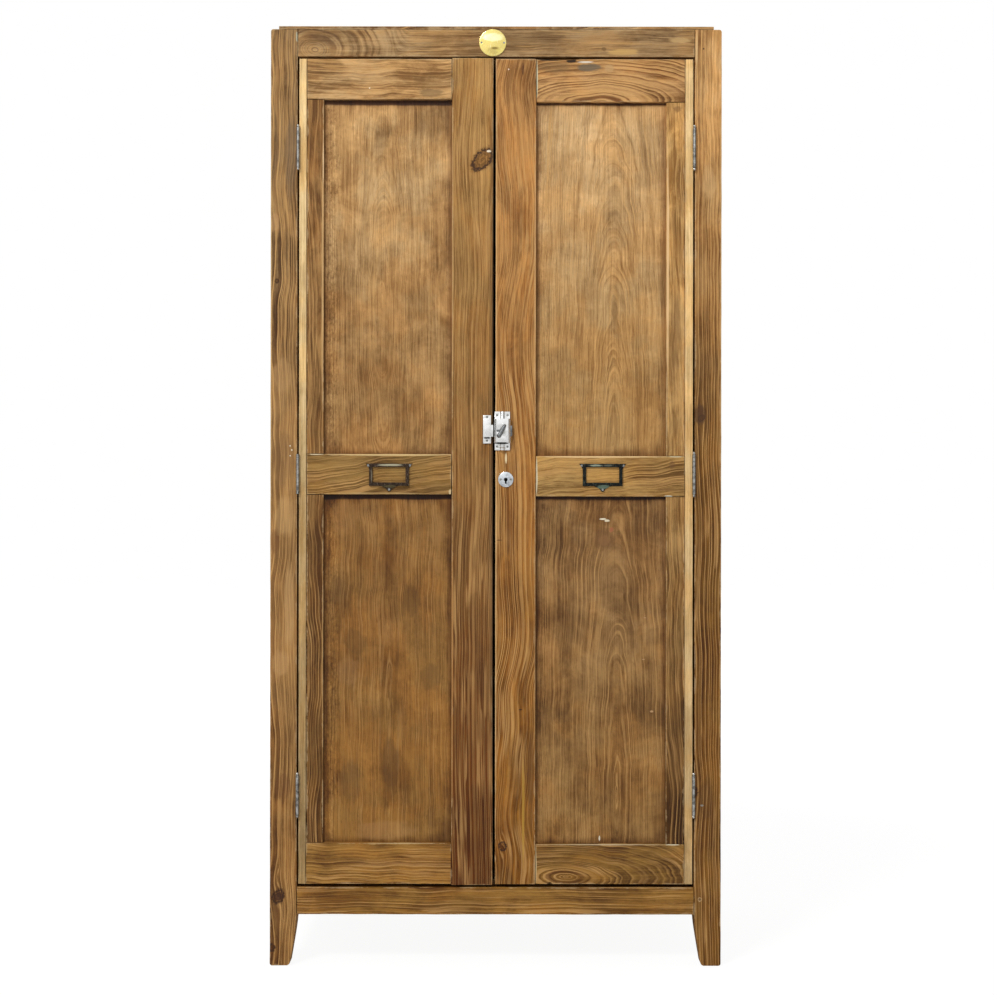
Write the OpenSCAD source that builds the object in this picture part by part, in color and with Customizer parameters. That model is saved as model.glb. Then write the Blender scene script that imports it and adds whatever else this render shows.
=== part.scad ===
/* [Overall] */
// Height from the floor to the top of the top panel
total_h = 1800; // [1740:1:1880]
// Width over the posts
body_w = 865; // [820:1:920]
// Depth of the carcass, without the fittings on the doors
carcass_d = 450; // [400:1:520]

/* [Posts and rails] */
// Width of a post, seen from the front
post_w = 52; // [48:1:58]
// Depth of a post, seen from the side
post_d = 45; // [43:1:55]
// Height of the bare leg under the rails
leg_h = 98; // [80:1:120]
// How much the inner faces of a leg taper in at the foot
leg_taper = 14; // [8:0.5:18]
// Height of the front top rail and the front bottom rail
front_rail_h = 53; // [50:1:62]
// Height of the other rails of the carcass
side_rail_h = 54; // [46:1:70]
// Thickness of the side rails and the rear rails
side_rail_t = 22; // [19:1:26]
// How far the side rails stand back from the faces of the posts
side_setback = 3; // [1:0.5:5]
// Height of the middle of the side middle rails
side_mid_z = 930; // [850:1:1010]

/* [Panels and boards] */
// Thickness of the top panel
top_panel_t = 5; // [4:0.5:8]
// How far the ends of the top panel stand in from the sides
top_inset = 16; // [10:1:22]
// Thickness of the door panels and the side panels
panel_t = 8; // [6:0.5:9]
// Thickness of the back boards
back_t = 10; // [8:0.5:14]
// Number of back boards
back_n = 6; // [5:1:7]
// Thickness of the floor boards
floor_t = 12; // [10:0.5:15]
// Number of floor boards
floor_n = 3; // [2:1:4]
// How far the floor stands above the bottom rail, where it stops the doors
floor_step = 10; // [8:0.5:12]

/* [Shelves] */
// Thickness of a shelf
shelf_t = 16; // [12:1:20]
// Height of the top of the lower shelf
lower_shelf_z = 560; // [480:1:640]
// Height of the top of the middle shelf
middle_shelf_z = 950; // [870:1:1030]
// Height of the top of the upper shelf
upper_shelf_z = 1350; // [1270:1:1430]
// Distance from the front faces to the front edge of a shelf
shelf_setback = 62; // [58:1:90]
// Width of a shelf cleat
cleat_w = 18; // [14:1:24]
// Height of a shelf cleat
cleat_h = 25; // [20:1:32]
// Distance from the front faces to the front end of a cleat
cleat_setback = 34; // [30:1:40]

/* [Doors] */
// Thickness of a door
door_t = 25; // [22:0.5:27]
// Gap between a door and its post
hinge_gap = 2.5; // [2:0.1:3]
// Gap between the two doors
centre_gap = 3.5; // [3.2:0.1:5]
// Gap above the doors
top_gap = 3.5; // [3:0.1:5]
// Gap under the doors
bottom_gap = 5.5; // [5:0.1:7]
// How far the gap between the doors lies to the right of the middle
meet_x = -3.2; // [-6:0.1:0]
// Gap between a closed door and its stops
stop_gap = 0.8; // [0.6:0.1:1.5]
// How far the hinge stiles stand back from the rails
stile_back = 2; // [1:0.1:3]
// Depth of the door panels behind the rails
panel_back = 9; // [7:0.5:11]
// Thickness of the lap of a door rail over the hinge stile
lap_t = 12; // [10:0.5:14]
// How far the stop batten reaches down behind the doors
stop_drop = 10; // [6:1:14]
// Height of the stop batten
stop_h = 35; // [30:1:45]
// Thickness of the stop batten
stop_t = 18; // [17:0.5:24]

/* [Left door] */
// Width of the lipping strip
left_lip_w = 15; // [14:0.5:18]
// Width of the hinge stile
left_hinge_w = 33; // [28:1:44]
// Width of the meeting stile
left_meet_w = 80; // [72:1:90]
// Height of the top rail
left_top_h = 78; // [65:1:95]
// Height of the lower edge of the middle rail
left_mid_z = 903; // [840:1:970]
// Height of the middle rail
left_mid_h = 78; // [72:1:90]
// Height of the bottom rail
left_bottom_h = 79; // [65:1:95]
// How far the meeting stile runs past the rails, above and below
left_over = 2; // [0:0.1:2.2]

/* [Right door] */
// Width of the lipping strip
right_lip_w = 16; // [14:0.5:18]
// Width of the hinge stile
right_hinge_w = 36; // [28:1:44]
// Width of the meeting stile
right_meet_w = 78; // [72:1:90]
// Height of the top rail
right_top_h = 83; // [65:1:95]
// Height of the lower edge of the middle rail
right_mid_z = 899.5; // [840:0.5:970]
// Height of the middle rail
right_mid_h = 78; // [72:1:90]
// Height of the bottom rail
right_bottom_h = 77; // [65:1:95]
// How far the meeting stile runs past the rails, above and below
right_over = 0.5; // [0:0.1:2.2]

/* [Joinery] */
// Length of the tenons of the front and rear rails
tenon_l = 28; // [22:1:31]
// Length of the tenons of the side rails
side_tenon_l = 26; // [20:1:27]
// Thickness of all tenons
tenon_t = 9; // [8:0.5:10]
// Height of the shoulder above and below a tenon
tenon_shoulder = 10; // [8:1:13]
// Length of the tenons of the door rails
door_tenon_l = 45; // [35:1:50]
// Clearance between a tenon and its mortise
joint_fit = 0.1; // [0.05:0.05:0.2]
// Depth to which a panel enters its groove
panel_in = 7; // [5:0.5:8]
// Room left for a panel at the bottom of its groove
panel_room = 0.8; // [0.5:0.1:0.9]
// Length of the tongues of the back boards
tongue_l = 5; // [4:0.5:6]
// Thickness of the tongues of the back boards
tongue_t = 3.5; // [3:0.5:4]

/* [Hinges] */
// Length of a hinge barrel
barrel_l = 76; // [68:1:84]
// Radius of a hinge barrel
barrel_r = 3; // [2.8:0.1:3.1]
// Distance of the hinge line in front of the doors
hinge_proud = 3.3; // [3.3:0.1:3.8]
// Radius of a hinge pin
pin_r = 1.5; // [1.3:0.1:1.7]
// Running clearance of a hinge pin
pin_fit = 0.05; // [0.03:0.01:0.08]
// Gap between two knuckles
knuckle_gap = 0.4; // [0.3:0.05:0.6]
// Thickness of a leaf
leaf_t = 1.6; // [1.5:0.1:1.7]
// Width of a leaf on the edge of its door or post
leaf_w = 20; // [18:0.5:21]
// Depth to which a leaf is let into the wood
leaf_in = 1.2; // [1:0.1:1.3]
// Distance from the ends of a leaf to its outer screws
leaf_screw_in = 10; // [7:0.5:14]
// Radius of the ball at the end of a pin
ball_r = 2.8; // [2.4:0.1:3]
// Distance from the ends of a door to its outer hinges
hinge_inset = 171; // [150:1:200]

/* [Latch] */
// Height of the middle of the latch
latch_z = 1025; // [1005:1:1060]
// How far the knob stands in front of the doors
latch_proud = 22; // [21:0.5:25]
// How far the latch case hangs over the edge of the right door
case_over = 1.7; // [0.5:0.1:1.8]
// Width of the latch case
case_w = 31; // [28:0.5:34]
// Height of the body of the latch case
case_h = 46; // [40:1:50]
// Depth of the latch case
case_d = 12; // [11.5:0.1:12.2]
// Width of the bevel on the long edges of the latch case
case_bevel = 4; // [2:0.5:4.5]
// Height of a flange of the latch case
flange_h = 14; // [12:1:16]
// Thickness of the flanges
flange_t = 2.5; // [2:0.1:3]
// Radius of the rib on the flanges
case_rib_r = 4.5; // [3.5:0.1:5]
// Distance from the rib to a screw of the latch case
case_screw_x = 10; // [9:0.1:11]
// Height of the latch bolt
bolt_h = 20; // [17:0.5:21]
// Thickness of the latch bolt
bolt_t = 5; // [4.6:0.1:5.5]
// Gap between the latch bolt and the doors
bolt_back = 2.5; // [2:0.1:2.8]
// Clearance round the latch bolt
bolt_fit = 0.3; // [0.2:0.05:0.4]
// How far the latch bolt travels from its drawn place into the keeper
bolt_throw = 8; // [7:0.5:9]
// Length of the drawn latch bolt past its case, on the side away from the keeper
bolt_tail = 3.2; // [2:0.1:5]
// Length of the latch knob
knob_l = 29; // [24:0.5:31]
// Radius of the thick end of the latch knob
knob_r = 4.4; // [4:0.1:4.6]
// Radius of the thin end of the latch knob
knob_tip_r = 3; // [2.4:0.1:3.6]
// Tilt of the latch knob from upright
knob_tilt = 28; // [0:1:40]
// Radius of the stem of the latch knob
stem_r = 1.8; // [1.5:0.1:2.2]
// Gap between the body of the keeper and the edge of the left door
keeper_in = 4.5; // [4:0.1:6]
// Gap between the mouth of the keeper and the edge of the left door
mouth_in = 0.3; // [0.2:0.1:1]
// Width of the keeper
keeper_w = 15; // [14:0.5:18]
// Height of the body of the keeper
keeper_h = 36; // [32:1:40]
// Depth of the keeper
keeper_d = 10; // [9.5:0.1:11]
// Height of the middle of the keeper above the middle of the latch
keeper_rise = 5; // [3:0.5:5.5]
// Height of the lug above the keeper
keeper_top_lug = 7; // [6:0.5:10]
// Height of the lug under the keeper
keeper_lug = 11; // [8:0.5:14]
// Wall of the mouth of the keeper
mouth_wall = 1.2; // [1:0.1:2]

/* [Keyhole and lock] */
// Height of the keyhole
key_z = 932; // [925:1:945]
// Distance from the edge of the right door to the keyhole
key_in = 20.5; // [18:0.5:24]
// Radius of the keyhole plate
plate_r = 14.5; // [13:0.1:16]
// Thickness of the keyhole plate at its rim
plate_t = 1; // [0.8:0.1:1.4]
// Height of the dome of the keyhole plate
plate_rise = 2; // [1:0.1:2.5]
// Radius of the round part of the keyhole
keyhole_r = 3.6; // [3.4:0.1:4]
// Width of the slot of the keyhole
keyhole_w = 3.4; // [3:0.1:4]
// Distance from the middle of the keyhole to the end of its slot
keyhole_l = 8; // [7:0.5:9.5]
// Distance from the keyhole to a screw of its plate
plate_screw_x = 10; // [9:0.1:10.5]
// Width of the lock case
lock_w = 56; // [50:1:64]
// Height of the lock case
lock_h = 52; // [48:1:60]
// Depth of the lock case
lock_d = 14; // [13:0.5:16]
// Distance from the edge of the right door to the lock case
lock_in = 1; // [0.6:0.1:3]
// Height of the middle of the lock case above the keyhole
lock_rise = 5; // [3:0.5:6]
// Distance from the sides of the lock case to its screws
lock_screw_in = 5; // [4:0.1:5.5]
// Wall of the lock case and the strike box
lock_wall = 1.6; // [1.2:0.1:2]
// Height of the lock bolt above the keyhole
lock_bolt_rise = 15; // [13:0.5:16]
// Height of the lock bolt
lock_bolt_h = 12; // [10:0.5:13]
// Thickness of the lock bolt
lock_bolt_t = 7; // [6:0.5:8]
// How far the lock bolt goes out
lock_throw = 13; // [12:0.5:14]
// Gap between the strike box and the edge of the left door
strike_in = 2; // [1.5:0.1:3]
// Depth of the strike box past the end of the thrown lock bolt
strike_room = 7.5; // [5:0.5:12]
// Height of a lug of the strike box
strike_lug = 12; // [10:1:15]

/* [Bolts inside the left door] */
// Radius of a rod
rod_r = 4; // [3.5:0.1:4.2]
// Clearance of a rod in its guides
rod_fit = 0.08; // [0.05:0.01:0.1]
// Clearance of a rod in the wood
rod_hole_fit = 1; // [0.6:0.1:1.2]
// Distance of a rod from the back of the door
rod_off = 7; // [6.5:0.1:8]
// Length of a rod
rod_l = 130; // [120:1:160]
// How far a rod goes out
rod_throw = 14; // [10:0.5:15]
// Gap between a drawn rod and the wood that it goes into
rod_gap = 3; // [2:0.1:4]
// Width of the plate of a bolt
rod_plate_w = 28; // [24:1:34]
// Length of the plate of a bolt
rod_plate_l = 100; // [90:1:110]
// Thickness of the plate of a bolt
rod_plate_t = 2; // [1.5:0.1:2.4]
// Distance from the ends of the plate of a bolt to its guides
rod_plate_end = 8; // [6:0.5:9]
// Length of a guide
guide_l = 12; // [8:1:15]
// Wall of a guide at the sides of the rod
guide_side = 5; // [3:0.5:6]
// Wall of a guide over the rod
guide_wall = 2; // [1.5:0.1:3]
// Radius of the stem of a rod
rod_stem_r = 2.4; // [2:0.1:3]
// Length of the stem of a rod
rod_stem_l = 11; // [8:0.5:14]
// Radius of the ball on the stem of a rod
rod_ball_r = 4.5; // [4:0.1:6]

/* [Label holders] */
// Width of the frame of a label holder
label_w = 76; // [70:1:84]
// Height of the frame of a label holder
label_h = 42.5; // [38:0.5:46]
// Width of the rim round the window
label_rim = 6.3; // [5:0.1:7]
// Height of the rim above the wood
label_d = 3; // [2.4:0.1:4]
// Thickness of the ears and the tab
label_t = 1.2; // [0.8:0.1:1.6]
// How far an ear reaches out past the frame
ear_out = 7; // [5:0.5:9]
// Height of an ear
ear_h = 13; // [10:0.5:18]
// Width of the tab where it meets the frame
tab_w = 41; // [34:1:50]
// Length of the tab under the frame
tab_l = 11; // [9:0.5:12]
// Radius of the tip of the tab
tip_r = 4; // [3.5:0.1:4.4]
// Distance from the frame to the screws in its ears
ear_screw_out = 2; // [1.5:0.1:2.5]
// Distance from the top of the frame to the screws in its ears
ear_screw_down = 3.5; // [3:0.1:4]
// Width of the rim behind the card
card_wall = 2.2; // [1.5:0.1:3.5]
// Distance of the middle of a label holder from the middle of the cabinet
label_x = 204.5; // [190:0.5:215]
// Height of the left label holder above the middle of its rail
left_label_rise = -1; // [-3:0.5:3]
// Height of the right label holder above the middle of its rail
right_label_rise = 2.5; // [-3:0.5:3]

/* [Medallion and fasteners] */
// Radius of the medallion
medal_r = 25.8; // [22:0.1:25.9]
// Thickness of the medallion at its rim
medal_t = 1.2; // [0.8:0.1:2]
// Height of the dome of the medallion
medal_rise = 1.4; // [0.5:0.1:2.5]
// Place of the medallion, from the middle of the top rail
medal_x = -7; // [-20:1:20]
// Distance from the middle of the medallion to one of its nails
medal_nail_x = 21.5; // [18:0.5:22]
// Radius of the shank of a large screw
screw_r = 1.6; // [1.4:0.1:1.8]
// Radius of the head of a large screw
screw_head_r = 3.1; // [2.8:0.1:3.3]
// Length of a large screw
screw_l = 18; // [14:1:20]
// Radius of the shank of a small screw
small_r = 1.1; // [0.9:0.1:1.2]
// Radius of the head of a small screw
small_head_r = 2.2; // [2:0.1:2.4]
// Length of a small screw
small_l = 11; // [9:0.5:13]
// Clearance of a screw or a nail in its hole
screw_fit = 0.05; // [0.02:0.01:0.1]
// Radius of a nail
nail_r = 0.9; // [0.7:0.1:1.1]
// Radius of the head of a nail
nail_head_r = 1.8; // [1.5:0.1:2.2]
// Length of a nail
nail_l = 20; // [14:1:24]
// Number of nails along the front and along the back of the top panel
nail_n = 4; // [3:1:6]
// Distance from a post to the nearest nail of the top panel
nail_in = 17; // [8:1:40]

/* [Hidden] */
$fn = 48;

// Colours
pine = "#9c6f3f";
pale_pine = "#d3ac6e";
panel_wood = "#94653b";
plain_wood = "#a88557";
nickel = "#d6d6d4";
steel = "#9b9a95";
bronze = "#4a3a30";
patina = "#2b2f2a";
brass = "#e6d375";

// The carcass
half_w = body_w / 2;
total_d = carcass_d + latch_proud;
front_y = latch_proud - total_d / 2;
rear_y = total_d / 2;
mid_y = (front_y + rear_y) / 2;
post_h = total_h - top_panel_t;
post_x = half_w - post_w;
rail_t = door_t + stop_gap;
top_rail_z = post_h - front_rail_h;
bottom_rail_z = leg_h + front_rail_h;
floor_z = bottom_rail_z + floor_step;
floor_under = floor_z - floor_t;
back_y = rear_y - back_t;
side_x = half_w - side_setback - side_rail_t;
side_panel_x = side_x + (side_rail_t - panel_t) / 2;
SIDE_RAILS = [
    [leg_h, floor_under],
    [side_mid_z - side_rail_h / 2, side_mid_z + side_rail_h / 2],
    [post_h - side_rail_h, post_h]
];
REAR_RAILS = [SIDE_RAILS[0], SIDE_RAILS[2]];
SHELVES = [lower_shelf_z, middle_shelf_z, upper_shelf_z];
leg_steps = 8;
leg_curve = 1.15;
board_gap = 0.5;
over = 1;

// The doors
door_z0 = bottom_rail_z + bottom_gap;
door_z1 = top_rail_z - top_gap;
door_edge_x = post_x - hinge_gap;
left_door_w = door_edge_x + meet_x - centre_gap / 2;
right_door_w = door_edge_x - meet_x - centre_gap / 2;
W = 0;
LIP = 1;
HINGE = 2;
MEET = 3;
RAILS = 4;
OVER = 5;
LEFT = [
    left_door_w, left_lip_w, left_hinge_w, left_meet_w,
    [
        [door_z0, door_z0 + left_bottom_h],
        [left_mid_z, left_mid_z + left_mid_h],
        [door_z1 - left_top_h, door_z1]
    ],
    left_over
];
RIGHT = [
    right_door_w, right_lip_w, right_hinge_w, right_meet_w,
    [
        [door_z0, door_z0 + right_bottom_h],
        [right_mid_z, right_mid_z + right_mid_h],
        [door_z1 - right_top_h, door_z1]
    ],
    right_over
];

// The hinges, counted from the bottom
HINGES = [door_z0 + hinge_inset, left_mid_z + left_mid_h / 2, door_z1 - hinge_inset];
hinge_x = post_x - hinge_gap / 2;
knuckles = 5;
knuckle_l = (barrel_l - (knuckles - 1) * knuckle_gap) / knuckles;
leaf_clear = 0.3;
leaf_screw_step = barrel_l / 2 - leaf_screw_in;
ball_gap = 0.2;

// The latch, in the frame of the right door, whose meeting edge is at right_door_w
left_edge_x = meet_x - centre_gap / 2;
right_edge_x = meet_x + centre_gap / 2;
case_x0 = right_edge_x - case_over;
case_x1 = case_x0 + case_w;
case_mid = (case_x0 + case_x1) / 2;
keeper_x1 = left_edge_x - keeper_in;
keeper_x0 = keeper_x1 - keeper_w;
keeper_z = latch_z + keeper_rise;
bolt_y0 = -bolt_back - bolt_t;
bolt_in = 0.2;
bolt_x0 = case_x0 + bolt_in;
bolt_x1 = case_x1 + bolt_tail;
bolt_end_gap = 0.5;
stem_fit = 0.3;
stem_x = case_mid - over;
case_screw_z = (case_h + flange_h) / 2;

// The lock
key_x = right_edge_x + key_in;
lock_x0 = right_edge_x + lock_in;
lock_x1 = lock_x0 + lock_w;
lock_z = key_z + lock_rise;
lock_bolt_z = key_z + lock_bolt_rise;
lock_bolt_y = door_t + (lock_d - lock_bolt_t) / 2;
lock_fit = 0.3;
lock_tail_gap = 2;
strike_x1 = left_edge_x - strike_in;
strike_x0 = lock_x0 - lock_throw - strike_room;
strike_h = lock_bolt_h + 2 * lock_fit + 2 * lock_wall;

// The bolts inside the left door
rod_x = left_edge_x - left_meet_w / 2;
rod_y = front_y + door_t + rod_off;
rod_top_z = top_rail_z - stop_drop - rod_gap;
rod_low_z = floor_z + rod_gap;
guide_w = 2 * (rod_r + guide_side);
guide_d = rod_off + rod_r + guide_wall;

// The label holders
LEFT_LABEL = [-label_x, left_mid_z + left_mid_h / 2 + left_label_rise];
RIGHT_LABEL = [label_x, right_mid_z + right_mid_h / 2 + right_label_rise];
label_steps = 6;
label_screw_x = label_w / 2 + ear_screw_out;
label_screw_z = label_h / 2 - ear_screw_down;
tab_screw_z = tip_r - label_h / 2 - tab_l;

// The medallion and the nails of the top panel
medal_z = top_rail_z + front_rail_h / 2;
TOP_NAILS = [for (y = [front_y + rail_t / 2, back_y - side_rail_t / 2]) for (i = [0:nail_n - 1])
    [(post_x - nail_in) * (2 * i / (nail_n - 1) - 1), y]];
nail_head_t = 1;
dome_steps = 8;

// A board between two opposite corners
module board(lo, hi) {
    translate(lo) cube(hi - lo);
}

// Two boards or fittings that lie the same way on the left and on the right
module both_sides() {
    children();
    mirror([1, 0, 0]) children();
}

// What lies at the back as it lies at the front
module to_back() {
    translate([0, 2 * mid_y, 0]) mirror([0, 1, 0]) children();
}

// A countersunk screw: the top of its head is at the origin and it goes down
module screw(r, head_r, l) {
    slot_w = head_r / 3;
    slot_d = head_r / 4;
    difference() {
        union() {
            translate([0, 0, -l]) cylinder(h = l, r = r);
            translate([0, 0, r - head_r]) cylinder(h = head_r - r, r1 = r, r2 = head_r);
        }
        board([-head_r, -slot_w / 2, -slot_d], [head_r, slot_w / 2, over]);
    }
}

// The hole for such a screw
module screw_hole(r, head_r, l) {
    translate([0, 0, -l - over]) cylinder(h = l + 2 * over, r = r + screw_fit);
    translate([0, 0, r - head_r - screw_fit])
        cylinder(h = head_r - r, r1 = r + screw_fit, r2 = head_r + screw_fit);
    translate([0, 0, -screw_fit]) cylinder(h = over, r = head_r + screw_fit);
}

// A nail with a flat head: the top of its head is at the origin and it goes down
module nail() {
    translate([0, 0, -nail_l]) cylinder(h = nail_l, r = nail_r);
    translate([0, 0, -nail_head_t]) cylinder(h = nail_head_t, r = nail_head_r);
}

// The hole for a nail
module nail_hole() {
    translate([0, 0, -nail_l - over]) cylinder(h = nail_l + 2 * over, r = nail_r + screw_fit);
    translate([0, 0, -nail_head_t]) cylinder(h = nail_head_t + over, r = nail_head_r + screw_fit);
}

// A round plate with a low dome, lying on z = 0
module dome(r, t, rise) {
    arc = [for (i = [0:dome_steps]) 90 * i / dome_steps];
    rotate_extrude()
        polygon(concat([[0, 0], [r, 0]], [for (a = arc) [r * cos(a), t + rise * pow(sin(a), 2)]]));
}

// The straight outer side of a post lies on 0, and its leg tapers on the other side
module post_outline(w) {
    leg = [for (i = [0:leg_steps])
        [w - leg_taper * pow(i / leg_steps, leg_curve), leg_h * (1 - i / leg_steps)]];
    polygon(concat([[0, 0], [0, post_h], [w, post_h]], leg));
}

// The place of the left side panels, grown at their edges to cut the grooves
module side_panel(i, grow) {
    in = panel_in + grow;
    board([-side_panel_x - panel_t, front_y + post_d - in, SIDE_RAILS[i][1] - in],
        [-side_panel_x, rear_y - post_d + in, SIDE_RAILS[i + 1][0] + in]);
}

// The tenons of the left side rails
module side_tenons(fit, room) {
    mid = side_x + side_rail_t / 2;
    reach = side_tenon_l + room;
    for (rail = SIDE_RAILS)
        board([-mid - tenon_t / 2 - fit, front_y + post_d - reach, rail[0] + tenon_shoulder - fit],
            [-mid + tenon_t / 2 + fit, rear_y - post_d + reach, rail[1] - tenon_shoulder + fit]);
}

// The tenons of a front or rear rail that runs from one post to the other
module long_tenons(y, rail, fit, room) {
    board([-post_x - tenon_l - room, y - tenon_t / 2 - fit, rail[0] + tenon_shoulder - fit],
        [post_x + tenon_l + room, y + tenon_t / 2 + fit, rail[1] - tenon_shoulder + fit]);
}

// A post at the front left, with the mortises and grooves for the side
module left_post() {
    difference() {
        intersection() {
            translate([-half_w, front_y + post_d, 0]) rotate([90, 0, 0])
                linear_extrude(post_d) post_outline(post_w);
            translate([-half_w, front_y, 0]) rotate([90, 0, 90])
                linear_extrude(post_w) post_outline(post_d);
        }
        side_tenons(joint_fit, panel_room);
        for (i = [0, 1]) side_panel(i, panel_room);
    }
}

// A front post with the mortises of the front rails and the recesses of its hinges
module front_left_post_cut() {
    difference() {
        left_post();
        long_tenons(front_y + rail_t / 2, [top_rail_z, post_h], joint_fit, panel_room);
        long_tenons(front_y + rail_t / 2, [leg_h, bottom_rail_z], joint_fit, panel_room);
        left_hinge_places() {
            leaf_recess();
            leaf_screws(true);
        }
    }
}

module front_left_post() {
    color(pine) front_left_post_cut();
}

module front_right_post() {
    color(pine) mirror([1, 0, 0]) front_left_post_cut();
}

module rear_posts() {
    color(pine) both_sides() difference() {
        to_back() left_post();
        for (rail = REAR_RAILS) long_tenons(back_y - side_rail_t / 2, rail, joint_fit, panel_room);
    }
}

module long_rail(y0, t, rail) {
    board([-post_x, y0, rail[0]], [post_x, y0 + t, rail[1]]);
    long_tenons(y0 + t / 2, rail, 0, 0);
}

module front_top_rail() {
    color(pine) difference() {
        long_rail(front_y, rail_t, [top_rail_z, post_h]);
        medal_nail_places() nail_hole();
        top_nail_holes();
    }
}

module front_bottom_rail() {
    color(pine) long_rail(front_y, rail_t, [leg_h, bottom_rail_z]);
}

module rear_rails() {
    color(plain_wood) difference() {
        for (rail = REAR_RAILS) long_rail(back_y - side_rail_t, side_rail_t, rail);
        top_nail_holes();
    }
}

module left_side_rails_cut() {
    difference() {
        union() {
            for (rail = SIDE_RAILS)
                board([-side_x - side_rail_t, front_y + post_d, rail[0]],
                    [-side_x, rear_y - post_d, rail[1]]);
            side_tenons(0, 0);
        }
        for (i = [0, 1]) side_panel(i, panel_room);
    }
}

module left_side_rails() {
    color(pine) left_side_rails_cut();
}

module right_side_rails() {
    color(pine) mirror([1, 0, 0]) left_side_rails_cut();
}

module left_side_panels() {
    color(panel_wood) for (i = [0, 1]) side_panel(i, 0);
}

module right_side_panels() {
    color(panel_wood) mirror([1, 0, 0]) for (i = [0, 1]) side_panel(i, 0);
}

// Upright boards between the rear posts, each with a tongue that enters the next one
module back_boards() {
    step = 2 * post_x / back_n;
    tongue_y = rear_y - (back_t + tongue_t) / 2;
    color(plain_wood) for (i = [0:back_n - 1]) translate([-post_x + i * step, 0, 0]) {
        difference() {
            board([0, back_y, leg_h], [step - board_gap, rear_y, post_h]);
            if (i > 0)
                board([-over, tongue_y - joint_fit, leg_h - over],
                    [tongue_l, tongue_y + tongue_t + joint_fit, post_h + over]);
        }
        if (i < back_n - 1)
            board([step - board_gap, tongue_y, leg_h],
                [step + tongue_l - board_gap, tongue_y + tongue_t, post_h]);
    }
}

module top_panel() {
    color(pine) difference() {
        board([top_inset - half_w, front_y, post_h], [half_w - top_inset, rear_y, total_h]);
        top_nail_holes();
    }
}

module top_nail_places() {
    for (p = TOP_NAILS) translate([p[0], p[1], total_h]) children();
}

module top_nail_holes() {
    top_nail_places() nail_hole();
}

module top_panel_nails() {
    color(steel) top_nail_places() nail();
}

// Boards from side to side on the side rails, notched round the posts
module floor_boards() {
    y0 = front_y + rail_t;
    step = (back_y - joint_fit - y0) / floor_n;
    end_x = side_panel_x - joint_fit;
    color(plain_wood) difference() {
        for (i = [0:floor_n - 1])
            board([-end_x, y0 + i * step, floor_under], [end_x, y0 + (i + 1) * step - board_gap, floor_z]);
        both_sides() {
            board([post_x - joint_fit, y0 - over, floor_under - over],
                [half_w, front_y + post_d + joint_fit, floor_z + over]);
            board([post_x - joint_fit, rear_y - post_d - joint_fit, floor_under - over],
                [half_w, rear_y + over, floor_z + over]);
        }
        translate([rod_x, rod_y, floor_under - over])
            cylinder(h = floor_t + 2 * over, r = rod_r + rod_hole_fit);
    }
}

// The batten behind the top rail, with the hole for the upper bolt
module door_stop() {
    z0 = top_rail_z - stop_drop;
    color(plain_wood) difference() {
        board([joint_fit - post_x, front_y + rail_t, z0],
            [post_x - joint_fit, front_y + rail_t + stop_t, z0 + stop_h]);
        translate([rod_x, rod_y, z0 - over]) cylinder(h = stop_h + 2 * over, r = rod_r + rod_hole_fit);
    }
}

module shelf_cleats() {
    color(plain_wood) both_sides() for (z = SHELVES)
        board([post_x - cleat_w, front_y + cleat_setback, z - shelf_t - cleat_h],
            [post_x, back_y, z - shelf_t]);
}

module shelf(z) {
    color(plain_wood) board([joint_fit - post_x, front_y + shelf_setback, z - shelf_t],
        [post_x - joint_fit, back_y - joint_fit, z]);
}

module lower_shelf() {
    shelf(lower_shelf_z);
}

module middle_shelf() {
    shelf(middle_shelf_z);
}

module upper_shelf() {
    shelf(upper_shelf_z);
}

module medal_nail_places() {
    for (s = [-1, 1])
        translate([medal_x + s * medal_nail_x, front_y - medal_t - medal_rise / 2, medal_z])
            rotate([90, 0, 0]) children();
}

module medallion() {
    color(brass) difference() {
        translate([medal_x, front_y, medal_z]) rotate([90, 0, 0]) dome(medal_r, medal_t, medal_rise);
        medal_nail_places() nail_hole();
    }
}

module medallion_nails() {
    color(steel) medal_nail_places() nail();
}

// Puts a hinge, drawn round the z axis with its post on the left, on the left hinge line
module left_hinge_places() {
    for (z = HINGES) translate([-hinge_x, front_y - hinge_proud, z]) children();
}

// The room that a leaf on the post takes up in the wood
module leaf_recess() {
    board([-hinge_gap / 2 - leaf_in, 0, -barrel_l / 2], [over, hinge_proud + leaf_w, barrel_l / 2]);
}

// The three screws of a leaf on the post, or their holes
module leaf_screws(holes) {
    for (z = [-leaf_screw_step, 0, leaf_screw_step])
        translate([-hinge_gap / 2 - leaf_in + leaf_t, hinge_proud + leaf_w / 2, z])
            rotate([0, 90, 0])
                if (holes) screw_hole(screw_r, screw_head_r, screw_l);
                else screw(screw_r, screw_head_r, screw_l);
}

// The barrel pieces with these numbers, made larger by a clearance where they are cut away
module barrel(numbers, clear) {
    step = knuckle_l + knuckle_gap;
    end_clear = min(clear, knuckle_gap);
    for (i = numbers) translate([0, 0, i * step - barrel_l / 2 - end_clear])
        cylinder(h = knuckle_l + 2 * end_clear, r = barrel_r + clear);
}

// A leaf on the post, with its own barrel pieces, cut free of the other leaf's pieces
module hinge_leaf(own, others) {
    difference() {
        union() {
            board([-hinge_gap / 2 - leaf_in, 0, -barrel_l / 2],
                [-hinge_gap / 2 - leaf_in + leaf_t, hinge_proud + leaf_w, barrel_l / 2]);
            barrel(own, 0);
        }
        barrel(others, leaf_clear);
        cylinder(h = 2 * barrel_l, r = pin_r + pin_fit, center = true);
        leaf_screws(true);
    }
}

// A pin, with a ball above and below the barrel where the hinge has them
module hinge_pin(balls) {
    neck_l = ball_gap + ball_r;
    cylinder(h = barrel_l + (balls ? 2 * neck_l : 0), r = pin_r, center = true);
    if (balls) for (s = [-1, 1]) translate([0, 0, s * (barrel_l / 2 + neck_l)]) sphere(r = ball_r);
}

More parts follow.
